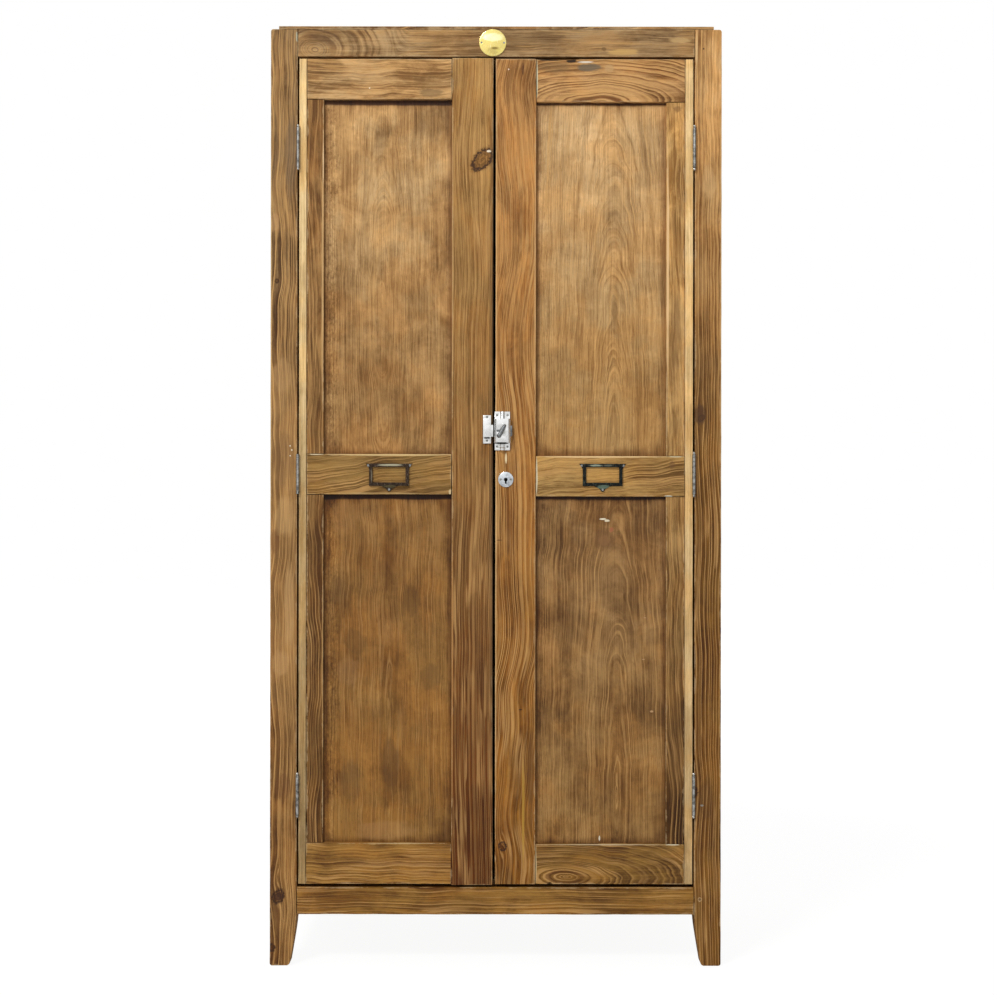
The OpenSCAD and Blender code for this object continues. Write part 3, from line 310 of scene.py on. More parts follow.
def build_growth_rings():
    """Growth rings round a pith that leans and wanders along the board."""
    bench, take, give = new_group(
        "Growth rings",
        {"Place": ORIGIN, "Pith": ORIGIN, "Slant": 0.0, "Lean": 0.0, "Ring": 5.0, "Waver": 4.0,
         "Wave": 180.0, "Lumps": 8.0, "Reach": 5000.0, "Steady": 0.0, "Seed": 0.0},
        ("Dark", "Pale"), "Flow")
    across, depth, along = bench.split(take["Place"] - take["Pith"])
    start = along / take["Wave"] + take["Seed"]
    across = across - bench.wander(start) * take["Waver"] - along * take["Lean"]
    depth = depth - bench.wander(start + 37.3) * take["Waver"] - along * take["Slant"]
    seeded = take["Place"] + bench.join(take["Seed"], 0.0, 0.0)
    broad = bench.cloud(seeded * (0.020, 0.020, 0.0035), detail=2.0)
    fine = bench.cloud(seeded * (0.09, 0.09, 0.011))
    bumps = (fine * 0.3 + (broad - 0.65)) * take["Lumps"]
    phase = (bench.length(bench.join(across, depth, 0.0)) + bumps) / take["Ring"]
    phase = phase + bench.wander(phase * 0.21) * 1.8
    part, number = bench.math("FRACT", phase), bench.math("FLOOR", phase)
    late = bench.math("POWER", bench.step(part, 0.1, 0.86), 3.4) * bench.step(part, 1.0, 0.9)
    early = bench.step(part, 0.42, 0.2) * bench.step(part, 0.0, 0.08)
    faint = bench.step(bench.cloud(seeded * (0.03, 0.03, 0.006)), 0.36, 0.62, 0.15, 1.0)
    gone = bench.step(abs(along) / take["Reach"], 0.75, 1.0)
    faint = bench.math("MAXIMUM", faint, take["Steady"]) * (1.0 - gone)
    clear = bench.math("MAXIMUM", bench.chance(number + 0.5), take["Steady"])
    curved = phase * take["Ring"] - take["Slant"] * take["Reach"] * 0.87
    plain = curved + (across + bumps - curved) * gone
    return give(Dark=late * faint * (bench.chance(number) * 0.7 + 0.3), Pale=early * faint * clear,
                Flow=bench.join(plain, 0.0, along))


def build_knot():
    """A knot: the grain flows round it, and it has a cracked dark rim and rings of its own."""
    bench, take, give = new_group(
        "Knot", {"Place": ORIGIN, "Centre": ORIGIN, "Radius": 6.0, "Swell": 3.0, "Tilt": 0.0},
        ("Heart", "Rim", "Rings"), "Place")
    across, _, along = bench.split(take["Place"] - take["Centre"])
    far = bench.length(bench.join(across, 0.0, along * 0.55)) / (take["Radius"] * take["Swell"])
    pull = take["Radius"] * bench.math("POWER", math.e, far * far * -1.0)
    squeezed = across * abs(across) / (abs(across) + pull + 0.001)
    leaning = bench.join(across - along * take["Tilt"], 0.0, along * 0.85)
    ragged = bench.cloud(take["Place"] * 0.16, detail=4.0, rough=0.65)
    out = bench.length(leaning) / take["Radius"] + (ragged - 0.5) * 0.9
    broken = bench.step(bench.cloud(take["Place"] * 0.3, detail=2.0), 0.34, 0.5)
    return give(Place=take["Place"] + bench.join(squeezed - across, 0.0, 0.0),
                Heart=bench.step(out, 1.3, 0.8),
                Rim=bench.step(out, 0.5, 0.74) * bench.step(out, 1.12, 0.9) * broken,
                Rings=bench.math("SINE", out * 17.0) * 0.5 + 0.5)


def build_scar():
    """A ragged spot that fades at its edge, such as a chip, a scuff, a stain, a painted shadow or a painted
    highlight.
    """
    bench, take, give = new_group(
        "Mark and painted light", {"Place": ORIGIN, "Centre": ORIGIN, "Half": (5.0, 1000.0, 5.0)}, ("Mask",))
    noise = bench.cloud(take["Place"] / (take["Half"] * (0.6, 5.0, 0.6)), rough=0.6)
    out = bench.length((take["Place"] - take["Centre"]) / take["Half"]) + (noise - 0.5) * 0.8
    return give(Mask=bench.step(out, 1.0, 0.6))


def build_edges():
    """How far a board's edge is rubbed at a point, from the corners of the board."""
    bench, take, give = new_group(
        "Board edges", {"Place": ORIGIN, "Low": ORIGIN, "High": ORIGIN}, ("Rub",))
    inside = bench.vector("MINIMUM", take["Place"] - take["Low"], take["High"] - take["Place"])
    x, y, z = bench.split(bench.vector("ABSOLUTE", inside))
    least = bench.math("MINIMUM", x, bench.math("MINIMUM", y, z))
    most = bench.math("MAXIMUM", x, bench.math("MAXIMUM", y, z))
    patches = bench.cloud(take["Place"] * 0.035, detail=4.0, rough=0.65)
    width = bench.step(patches, 0.36, 0.72) * 5.0 + 0.3
    return give(Rub=1.0 - (x + (y + z) - least - most) / width)


def build_stain():
    """Uneven stain: clouds where it pooled, a warm or grey cast, streaks and thin pale lines that follow
    the rings, and fine fibres."""
    bench, take, give = new_group(
        "Stain", {"Place": ORIGIN, "Flow": ORIGIN, "Patch": (70.0, 70.0, 160.0), "Seed": 0.0},
        ("Cloud", "Cast", "Streak", "Line", "Fibre", "Fleck"))
    offset = bench.join(0.0, 13.7, take["Seed"] * 77.0 + 3450.0)
    seeded = take["Place"] + offset
    flow = take["Flow"] + offset
    cloud = bench.cloud(seeded / take["Patch"], detail=5.0, rough=0.62, distortion=0.4)
    cast = bench.cloud((seeded + (310.0, 170.0, 90.0)) / take["Patch"], rough=0.6)
    streak = bench.cloud(flow * (0.2, 0.1, 0.0036), detail=5.0, rough=0.8)
    line = bench.cloud(flow * (0.15, 0.1, 0.0028), detail=2.0, rough=0.6)
    some = bench.cloud(seeded * (0.02, 0.02, 0.006), detail=2.0)
    fibre = bench.cloud(seeded * (0.5, 0.5, 0.0075), detail=4.0, rough=0.8)
    fleck = bench.cloud(seeded * (0.5, 0.5, 0.075), rough=0.6)
    return give(Cloud=bench.step(cloud, 0.32, 0.68, -1.0, 1.0), Cast=bench.step(cast, 0.38, 0.62, -1.0, 1.0),
                Streak=bench.step(streak, 0.36, 0.64, -1.0, 1.0),
                Line=bench.step(abs(line - 0.5), 0.06, 0.02) * bench.step(some, 0.42, 0.6),
                Fibre=bench.step(fibre, 0.35, 0.65, -1.0, 1.0), Fleck=bench.step(fleck, 0.57, 0.68))


def build_handling():
    """Marks that hands and tools leave on metal: smudges, pits and scratches."""
    bench, take, give = new_group("Handling", {"Place": ORIGIN, "Size": 9.0}, ("Smudge", "Pit", "Scratch"))
    place = take["Place"] / take["Size"]
    turned = bench.node("Mapping", {"Vector": place, "Rotation": (0.3, 0.5, 0.9),
                                    "Scale": (14.0, 14.0, 0.9)})
    return give(Smudge=bench.step(bench.cloud(place, detail=4.0, rough=0.6), 0.34, 0.68),
                Pit=bench.step(bench.cloud(place * 6.0, rough=0.7), 0.58, 0.72),
                Scratch=bench.step(bench.cloud(turned, detail=2.0), 0.63, 0.7))


# Finishes

# Which of X, Y and Z go across, through and along a board, by the way that it runs
ORDERS = {"Z": (0, 1, 2), "X": (2, 1, 0), "Y": (2, 0, 1), "side": (1, 0, 2), "flat": (1, 2, 0)}

LATE_WOOD = (0.36, 0.25, 0.15, 1.0)  # what a growth ring leaves of the stain's colour
DARK_STAIN = (0.48, 0.40, 0.29, 1.0)  # the same where the stain pooled
LIGHT_STAIN = (1.52, 1.62, 1.80, 1.0)  # and where it is thin
WARM_CAST = (1.12, 0.97, 0.74, 1.0)  # where it turned orange
GREY_CAST = (0.88, 0.97, 1.12, 1.0)  # and where it turned grey
WAX = 0.2  # how much the wood reflects


def add_scars(bench, tone, place, scars, face=FRONT, deep=5.0):
    """Lay spots over a colour on one face, each (across, along, half width, half length, colour, strength).
    Most are stains, chips and wear; some are painted shade and painted highlights."""
    for across, at, half_across, half_along, colour, strength in scars:
        spot = bench.group("scar", Place=place, Centre=(across, face, at),
                           Half=(half_across, deep, half_along))
        tone = bench.mix(spot["Mask"] * strength, tone, tint([c / 255 for c in colour]))
    return tone


def stained(bench, tone, stain, clouds, streaks, fibres, lines):
    """A stained colour, lighter and darker where the stain is thin or pooled."""
    amount = stain["Cloud"] * clouds + stain["Streak"] * streaks + stain["Fibre"] * fibres
    tone = bench.shade(amount, tone, LIGHT_STAIN)
    tone = bench.shade(amount * -1.0, tone, DARK_STAIN)
    tone = bench.shade(stain["Cast"] * 0.4, tone, WARM_CAST)
    tone = bench.shade(stain["Cast"] * -0.4, tone, GREY_CAST)
    return bench.mix(stain["Line"] * (lines * 0.7), tone, tint(wood().line))


def board_finish(name, along, low, high, shades, pith, ring=5.0, slant=0.004, lean=0.0, waver=5.0,
                 wave=180.0, lumps=8.0, reach=5000.0, steady=0.2, turn=(0.0, 1.0), knots=(), scars=(),
                 dark=1.0, rub=0.6, patch=(45.0, 45.0, 110.0), seed=0.0, clouds=0.75, streaks=0.6,
                 fibres=0.5, lines=0.7, pale=0.8, boards=None):
    """Stained pine for one board, from its corners, its pith and its knots, in mm.

    ring is the width of a growth ring. slant and lean turn the rings through and across the board, waver
    and wave say how far and how often they wander, and lumps how uneven they are. They end at reach along
    the board, and steady keeps them from fading. turn says where one shade passes into the other. boards
    is the first edge and the width of each board where one node holds several."""
    bench = Finish(name)
    across, through, way = ORDERS[along]
    parts = bench.split(bench.mm)
    place = bench.join(parts[across], parts[through], parts[way])
    if boards:
        start, width = boards
        count = (parts[across] - start) / width
        seam = bench.step(abs(bench.math("FRACT", count) - 0.5), 0.5 - 1.6 / width, 0.5 - 0.5 / width,
                          0.0, 0.85)
        shift = bench.chance(bench.math("FLOOR", count))
        place = place + bench.join(shift * 37.0, shift * 29.0, shift * 700.0)
    bent = place
    marks = []
    for side, at, radius, swell, tilt in knots:
        marks.append(bench.group("knot", Place=bent, Centre=(side, FRONT, at), Radius=radius, Swell=swell,
                                 Tilt=tilt))
        bent = marks[-1]["Place"]
    rings = bench.group("rings", Place=bent, Pith=pith, Slant=slant, Lean=lean, Ring=ring, Waver=waver,
                        Wave=wave, Lumps=lumps, Reach=reach, Steady=steady, Seed=seed)
    stain = bench.group("stain", Place=bent, Flow=rings["Flow"], Patch=patch, Seed=seed)
    edges = bench.group("edges", Place=bench.mm, Low=low, High=high)
    first, last = pine(*shades) if along == "X" else reversed(pine(*shades))
    start, end = (low[way] + part * (high[way] - low[way]) for part in turn)
    tone = bench.mix(bench.step(parts[way], start, end), first, last)
    if boards:
        tone = bench.vector("MULTIPLY", tone, shift * 0.4 + 0.8)
        tone = bench.shade(seam, tone, (0.25, 0.2, 0.16, 1.0))
    tone = stained(bench, tone, stain, clouds, streaks, fibres, lines)
    tone = bench.shade(stain["Fleck"] * 0.22, tone, DARK_STAIN)
    late = rings["Dark"] * (dark * wood().ring_dark)
    tone = bench.shade(late, tone, LATE_WOOD)
    tone = bench.mix(rings["Pale"] * (dark * pale * 0.8), tone, tint(wood().line))
    relief = stain["Fibre"] * 0.35 + late * 0.5 - stain["Fleck"] * 0.4
    for mark in marks:
        heart = bench.mix(mark["Rings"], (0.74, 0.66, 0.56, 1.0), (0.40, 0.33, 0.25, 1.0))
        tone = bench.shade(mark["Heart"], tone, heart)
        tone = bench.mix(mark["Rim"] * 0.9, tone, tint(wood().knot))
        relief = relief - mark["Rim"] * 0.9
    tone = bench.mix(edges["Rub"] * rub, tone, tint(wood().bare))
    tone = add_scars(bench, tone, place, scars)
    facing = bench.split(bench.node("TexCoord", out="Normal"))[way]
    sawn = bench.step(abs(facing), 0.75, 0.9)
    tone = bench.shade(sawn * 0.8, tone, (0.42, 0.36, 0.3, 1.0))
    bench.shader["Specular IOR Level"].default_value = WAX
    return bench.lay(tone, stain["Streak"] * 0.05 + (late * -0.12 + 0.62), relief, 0.6, 0.0006)


def panel_finish(name, across, upright, shades, pith, ring, slant, seed, figure=0.35, clouds=0.4, blotch=0.5,
                 scrubbed=0.2, pitted=0.6, scars=()):
    """Stained veneer of a door panel, from what shows of it, in mm, with painted shade near its border that
    is darkest in its corners, and a painted shadow under the rail above it; both also stand for stain
    gathered there.

    figure is how strong its rings are, blotch the dark clouds, scrubbed the pale bands and pitted the rough
    strip at its left side."""
    bench = Finish(name)
    place = bench.mm
    rings = bench.group("rings", Place=place, Pith=(pith[0], PANEL_FACE, pith[1]), Slant=slant, Ring=ring,
                        Waver=4.0, Wave=130.0, Lumps=4.0, Seed=seed)
    stain = bench.group("stain", Place=place, Flow=rings["Flow"], Patch=(85.0, 85.0, 100.0), Seed=seed)
    x, _, z = bench.split(place)
    high, low = pine(*shades)
    tone = bench.mix(bench.step(z, upright[0], upright[1]), low, high)
    drag = bench.cloud((place + (seed * 31.0, 0.0, 0.0)) * (0.017, 0.017, 0.009), detail=6.0, rough=0.6)
    tone = bench.shade(bench.step(drag, 0.48, 0.72, 0.0, blotch), tone, DARK_STAIN)
    tone = stained(bench, tone, stain, clouds, 0.35, 0.42, 0.3)
    band = bench.cloud(place * (0.014, 0.014, 0.032), detail=4.0, rough=0.55)
    tone = bench.shade(bench.step(band, 0.5, 0.66, 0.0, scrubbed), tone, LIGHT_STAIN)
    tone = bench.shade(rings["Dark"] * figure, tone, (0.45, 0.34, 0.22, 1.0))
    tone = bench.mix(rings["Pale"] * (figure * 1.6), tone, tint(wood().line))
    tone = bench.shade(stain["Fleck"] * 0.35, tone, (0.4, 0.3, 0.2, 1.0))
    side = bench.math("MAXIMUM", bench.math("MINIMUM", x - across[0], across[1] - x), 0.0)
    end = bench.math("MAXIMUM", bench.math("MINIMUM", z - upright[0], upright[1] - z), 0.0)
    corner = side * end / (side + end + 0.01)
    rough_side = bench.step(stain["Cloud"] * 8.0 + (x - across[0]), 34.0, 12.0, 0.0, pitted)
    pits = bench.cloud(place * (0.3, 0.3, 0.17), rough=0.6)
    tone = bench.shade(bench.step(pits, 0.54, 0.66) * rough_side, tone, (0.4, 0.33, 0.25, 1.0))
    tone = bench.shade(bench.step(pits, 0.46, 0.34) * rough_side, tone, LIGHT_STAIN)
    # Painted shade near the panel's border, darkest in its corners, together with stain gathered there
    tone = bench.shade(bench.step(stain["Cloud"] * 3.0 + corner, 14.0, 1.0) * 0.65, tone,
                       (0.38, 0.27, 0.17, 1.0))
    # Painted shadow under the rail above the panel, together with stain pooled along its top edge
    under = stain["Cloud"] * 0.8 + (upright[1] - z)
    tone = bench.shade(bench.step(under, 9.0, 5.5), tone, (0.16, 0.11, 0.09, 1.0))
    tone = add_scars(bench, tone, place, scars, PANEL_FACE)
    bench.shader["Specular IOR Level"].default_value = WAX
    relief = stain["Fibre"] * 0.3 + rings["Dark"] * 0.2 - stain["Fleck"] * 0.6
    return bench.lay(tone, stain["Cloud"] * 0.06 + 0.55, relief, 0.45, 0.0004)


def metal_finish(name, colour, grime, rough, size, dirt, metallic=1.0, shine=None, scars=()):
    """Used metal: its colour, the grime in its smudges and pits, spots on it, some of which are painted
    shadows and painted highlights, and how rough it is.
    """
    bench = Finish(name)
    marks = bench.group("handling", Place=bench.mm, Size=size)
    tone = bench.mix(marks["Smudge"] * dirt, tint(colour), tint(grime))
    tone = bench.mix(marks["Pit"] * min(1.0, dirt * 1.4), tone, tint(grime))
    if shine:
        tone = bench.mix(marks["Scratch"] * 0.8, tone, tint(shine))
    tone = add_scars(bench, tone, bench.mm, scars, METAL_FACE, 20.0)
    bench.shader["Metallic"].default_value = metallic
    return bench.lay(tone, marks["Scratch"] * -0.08 + (marks["Smudge"] * 0.22 + rough),
                     marks["Pit"] * -0.6 - marks["Scratch"] * 0.4, 0.5, 0.00012)


def corners(*nodes):
    """The lowest and highest corners of some nodes together, in mm."""
    boxes = [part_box(node) for node in nodes]
    return ([1000.0 * min(low[i] for low, _ in boxes) for i in range(3)],
            [1000.0 * max(high[i] for _, high in boxes) for i in range(3)])


def dress(material, *nodes):
    """Give CAD nodes a finish, and leave their meshes as they are."""
    for node in nodes:
        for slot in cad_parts[node].material_slots:
            slot.material = material


# Working on a mesh

def only(piece):
    """Select one object and nothing else."""
    if bpy.context.object and bpy.context.object.mode != "OBJECT":
        bpy.ops.object.mode_set(mode="OBJECT")
    bpy.ops.object.select_all(action="DESELECT")
    piece.select_set(True)
    bpy.context.view_layer.objects.active = piece


def copy_of(node, name):
    """A new object with its own mesh of a CAD node, its doubles merged and its flat faces joined."""
    piece = bpy.data.objects.new(name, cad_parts[node].data.copy())
    bpy.context.scene.collection.objects.link(piece)
    only(piece)
    bpy.ops.mesh.customdata_custom_splitnormals_clear()
    bpy.ops.object.mode_set(mode="EDIT")
    bpy.ops.mesh.select_all(action="SELECT")
    bpy.ops.mesh.remove_doubles(threshold=0.00001)
    bpy.ops.mesh.dissolve_limited(angle_limit=math.radians(0.5))
    bpy.ops.object.mode_set(mode="OBJECT")
    return piece


def pick_edges(piece, test):
    """Go into edit mode with only the edges selected that pass the test."""
    only(piece)
    bpy.ops.object.mode_set(mode="EDIT")
    bpy.ops.mesh.select_mode(type="EDGE")
    bpy.ops.mesh.select_all(action="DESELECT")
    bpy.ops.object.mode_set(mode="OBJECT")
    points = piece.data.vertices
    for edge in piece.data.edges:
        edge.select = test(*(points[i].co for i in edge.vertices))
    found = any(edge.select for edge in piece.data.edges)
    bpy.ops.object.mode_set(mode="EDIT")
    return found


def on_arris(low, high, slack=0.00012):
    """A test for edges that lie on two of the outer faces of a board."""
    def flat(a, b, axis):
        return any(abs(a[axis] - side[axis]) < slack and abs(b[axis] - side[axis]) < slack
                   for side in (low, high))
    return lambda a, b: sum(flat(a, b, axis) for axis in range(3)) >= 2


def apply_all(piece):
    only(piece)
    for modifier in list(piece.modifiers):
        bpy.ops.object.modifier_apply(modifier=modifier.name)


def metres(corner):
    return Vector(corner) / 1000.0


def wear_arrises(piece, along, low, high, seed):
    """Round the arrises of a board, cut it into lengths, and rub its edges unevenly inwards."""
    low, high = metres(low), metres(high)
    width = wood().arris
    if pick_edges(piece, on_arris(low, high)):
        bpy.ops.mesh.bevel(offset=width, segments=2, profile=0.55, affect="EDGES", clamp_overlap=False)
    axis = ORDERS[along][2]
    chance = random.Random(seed)
    place, stop = low[axis] + 0.004, high[axis] - 0.004
    normal = Vector([float(i == axis) for i in range(3)])
    while place < stop:
        bpy.ops.mesh.select_all(action="SELECT")
        bpy.ops.mesh.bisect(plane_co=normal * place, plane_no=normal)
        place += chance.uniform(0.007, 0.026)
    bpy.ops.object.mode_set(mode="OBJECT")
    group = piece.vertex_groups.new(name="arris")
    for point in piece.data.vertices:
        near = sorted(min(abs(point.co[i] - low[i]), abs(high[i] - point.co[i])) for i in range(3))
        if near[1] < width * 1.3:
            group.add([point.index], 1.0, "REPLACE")
    noise = bpy.data.textures.new("Rubbed edge", "CLOUDS")
    noise.noise_scale, noise.noise_depth = 0.03, 3
    rub = piece.modifiers.new("Rub", "DISPLACE")
    rub.texture, rub.texture_coords, rub.vertex_group = noise, "LOCAL", "arris"
    rub.mid_level, rub.strength = 1.0, wood().rubbing
    apply_all(piece)
    piece.vertex_groups.clear()


def nick(piece, centre, size, seed):
    """Break a small uneven bite out of a board's edge."""
    bpy.ops.object.select_all(action="DESELECT")
    bpy.ops.mesh.primitive_ico_sphere_add(subdivisions=3, radius=1.0, location=ORIGIN)
    cutter = bpy.context.object
    bpy.ops.object.mode_set(mode="EDIT")
    bpy.ops.mesh.select_all(action="SELECT")
    bpy.ops.transform.vertex_random(offset=0.16, uniform=1.0, normal=0.0, seed=seed)
    bpy.ops.transform.resize(value=metres(size), center_override=ORIGIN)
    bpy.ops.transform.translate(value=metres(centre))
    bpy.ops.object.mode_set(mode="OBJECT")
    cut = piece.modifiers.new("Nick", "BOOLEAN")
    cut.operation, cut.solver, cut.object = "DIFFERENCE", "EXACT", cutter
    apply_all(piece)
    bpy.data.objects.remove(cutter)


def finish_piece(piece, body, node, material, smooth=None):
    """Give a piece its finish, hang it on the empty of the body it rides on, and hide the node it stands
    for.
    """
    piece.data.materials.clear()
    piece.data.materials.append(material)
    only(piece)
    if smooth:
        bpy.ops.object.shade_smooth_by_angle(angle=math.radians(smooth))
    else:
        bpy.ops.object.shade_flat()
    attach(piece, body)
    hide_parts(node)


def softened(node, name, body, material, width=None):
    """A copy of a node with its sharp edges eased, so that they catch the light."""
    piece = copy_of(node, name)
    ease = piece.modifiers.new("Ease", "BEVEL")
    ease.width, ease.segments = width or metal().edge, 2
    ease.limit_method, ease.angle_limit = "ANGLE", math.radians(34.0)
    ease.use_clamp_overlap = True
    apply_all(piece)
    finish_piece(piece, body, node, material, smooth=32.0)


# The boards of the front

# Each row holds a board's shades, its pith (across, through, along), its seed, how its grain looks, its
# knots (across, along, radius, swell, tilt), its nicks (centre, half sizes) and its marks, in mm. The marks
# are stains, chips and wear, and some of them are painted shade and painted highlights.

LIPPING = dict(slot="pale_pine", ring=3.2, waver=2, rub=0.5, clouds=0.35, streaks=0.25, fibres=0.3,
               lines=0.3)

POSTS = {
    "front_left_post": dict(
        shades=((135, 102, 62), (133, 92, 45)), pith=(-470, -160, 0), seed=3, ring=4.4, slant=0.004,
        lean=0.006, waver=6, wave=280, lumps=3.4, steady=0.7, clouds=0.7, pale=0.9,
        knots=((-419.6, 1312, 4, 3, 0), (-416, 132.6, 12, 2.4, 0.2), (-428, 34.8, 7, 2.2, 0)),
        scars=(
            (-406, 800, 60, 440, (190, 144, 88), 0.22), (-394, 1550, 13, 90, (116, 94, 70), 0.45),
            (-424, 1425, 10, 24, (200, 154, 104), 0.4), (-410, 1130, 22, 40, (196, 154, 102), 0.35),
            (-408, 972, 26, 62, (126, 90, 54), 0.45), (-403, 862, 26, 46, (216, 174, 116), 0.28),
            (-424, 812, 12, 28, (116, 74, 42), 0.5), (-396, 690, 11, 100, (204, 162, 108), 0.4),
            (-412, 580, 20, 30, (196, 154, 102), 0.35), (-408, 342, 20, 32, (112, 72, 40), 0.45),
            (-416, 133, 9, 10, (62, 36, 24), 0.85), (-382.6, 1780, 2.4, 12, (178, 176, 150), 0.8),
            (-431.4, 1180, 2.2, 600, (204, 168, 112), 0.6), (-394.3, 996, 1.3, 1.6, (240, 228, 200), 1),
            (-391, 988, 1.6, 2.2, (238, 224, 190), 1), (-394, 977, 1.4, 1.5, (240, 230, 206), 1))),
    "front_right_post": dict(
        shades=((204, 155, 96), (113, 74, 25)), pith=(470, -185, 0), seed=5, ring=4.6, slant=0.003,
        lean=-0.008, waver=5, wave=320, lumps=3.2, turn=(0.5, 1), steady=0.75, clouds=0.6, pale=0.9,
        knots=((394, 1050, 6, 3, 0.3), (377, 335, 11, 3, 0)),
        scars=(
            (391, 1056, 15, 24, (84, 56, 34), 0.75), (408, 1500, 16, 40, (226, 184, 128), 0.35),
            (404, 320, 18, 50, (84, 54, 26), 0.4), (392, 128, 5, 5, (200, 164, 116), 0.85),
            (392, 128, 3.4, 3.4, (104, 72, 40), 0.85), (396, 308, 4, 2.4, (150, 148, 140), 0.7),
            (431.4, 1500, 2, 300, (212, 170, 112), 0.5), (384, 1756, 2.6, 40, (224, 184, 128), 0.85),
            (397, 1758, 2, 2.4, (70, 50, 34), 0.9))),
}

FRONT_RAILS = {
    "front_top_rail": dict(
        shades=((160, 125, 81), (145, 111, 70)), pith=(1755, FRONT, -348), seed=7, ring=12, slant=0.7,
        waver=3, wave=120, lumps=9, reach=190, pale=0.25,
        scars=(
            (1751, 245, 7, 34, (210, 168, 100), 0.7), (1774, 351, 6, 26, (214, 176, 118), 0.6),
            (1757, 206, 5, 6, (106, 78, 46), 0.6))),
    "front_bottom_rail": dict(
        shades=((136, 94, 37),), pith=(60, -190, 0), seed=9, ring=5.5, slant=0.01, waver=4, wave=200),
}

LEFT_DOOR = {
    "left_lipping": dict(
        LIPPING, shades=((232, 196, 136), (158, 129, 84)), pith=(-330, -190, 0), seed=11, dark=0.3),
    "left_hinge_stile": dict(
        shades=((149, 107, 59), (97, 63, 24)), pith=(-290, -190, 400), seed=13, ring=5, slant=0.01,
        lean=-0.02, waver=9, wave=300, steady=0.5, rub=0.8,
        scars=(
            # All three spots are pale lines along the inner arris: rubbed wear with a painted highlight.
            (-332.6, 1318, 3.4, 350, (206, 166, 112), 0.75), (-331.5, 1545, 1.6, 70, (240, 204, 156), 0.9),
            (-331.5, 566, 2, 345, (180, 140, 88), 0.8))),
    "left_meeting_stile": dict(
        shades=((164, 121, 65), (93, 47, 4)), pith=(-150, -170, 0), seed=15, ring=4.4, slant=0.004,
        lean=0.008, waver=5, wave=420, lumps=2, steady=0.6, clouds=0.4, streaks=0.4, pale=0.8, dark=0.8,
        knots=((-26.5, 1545, 19, 2.4, 0.45),),
        scars=(
            # Spots two and three are painted shade along the rounded edge by the gap between the doors, with
            # some dark stain; the last two are pale lines along the inner arris, rubbed wear with a painted
            # highlight.
            (-14, 1561, 5, 2.8, (236, 222, 196), 1), (-9, 1000, 4.5, 850, (92, 70, 44), 0.4),
            (-5.4, 940, 3.2, 960, (62, 42, 18), 0.9), (-83.2, 1318, 2, 350, (200, 158, 104), 0.6),
            (-83.2, 566, 2, 345, (184, 134, 78), 0.75))),
    "left_door_top_rail": dict(
        shades=((177, 137, 87),), pith=(1640, -190, -210), seed=17, ring=4.6, slant=0.02, waver=5, wave=120,
        dark=0.65, clouds=0.95,
        scars=((1682, -243, 1.6, 2, (240, 226, 196), 1), (1672, -125, 9, 30, (118, 92, 58), 0.6))),
    "left_door_middle_rail": dict(
        shades=((133, 98, 47), (127, 93, 44)), pith=(690, -190, -260), seed=19, ring=8.5, slant=0.02,
        lean=0.17, waver=6, wave=130, lumps=9, steady=0.5,
        scars=(
            # The last two spots are pale lines along the top and bottom arrises: painted highlights with
            # rubbed wear.
            (980.5, -345, 2.4, 17, (222, 206, 168), 0.9), (908, -87, 7, 4, (220, 196, 150), 0.8),
            (979.4, -208, 2.8, 132, (224, 192, 134), 0.85), (905, -230, 2.4, 110, (186, 152, 96), 0.6))),
    "left_door_bottom_rail": dict(
        shades=((140, 98, 41),), pith=(120, -180, -210), seed=21, ring=5, slant=0.03, waver=6, wave=160,
        pale=0.4,
        # Its one spot is a pale broken line along the top arris: rubbed wear with a painted highlight.
        scars=((235, -170, 1.6, 90, (206, 180, 134), 0.7),)),
}

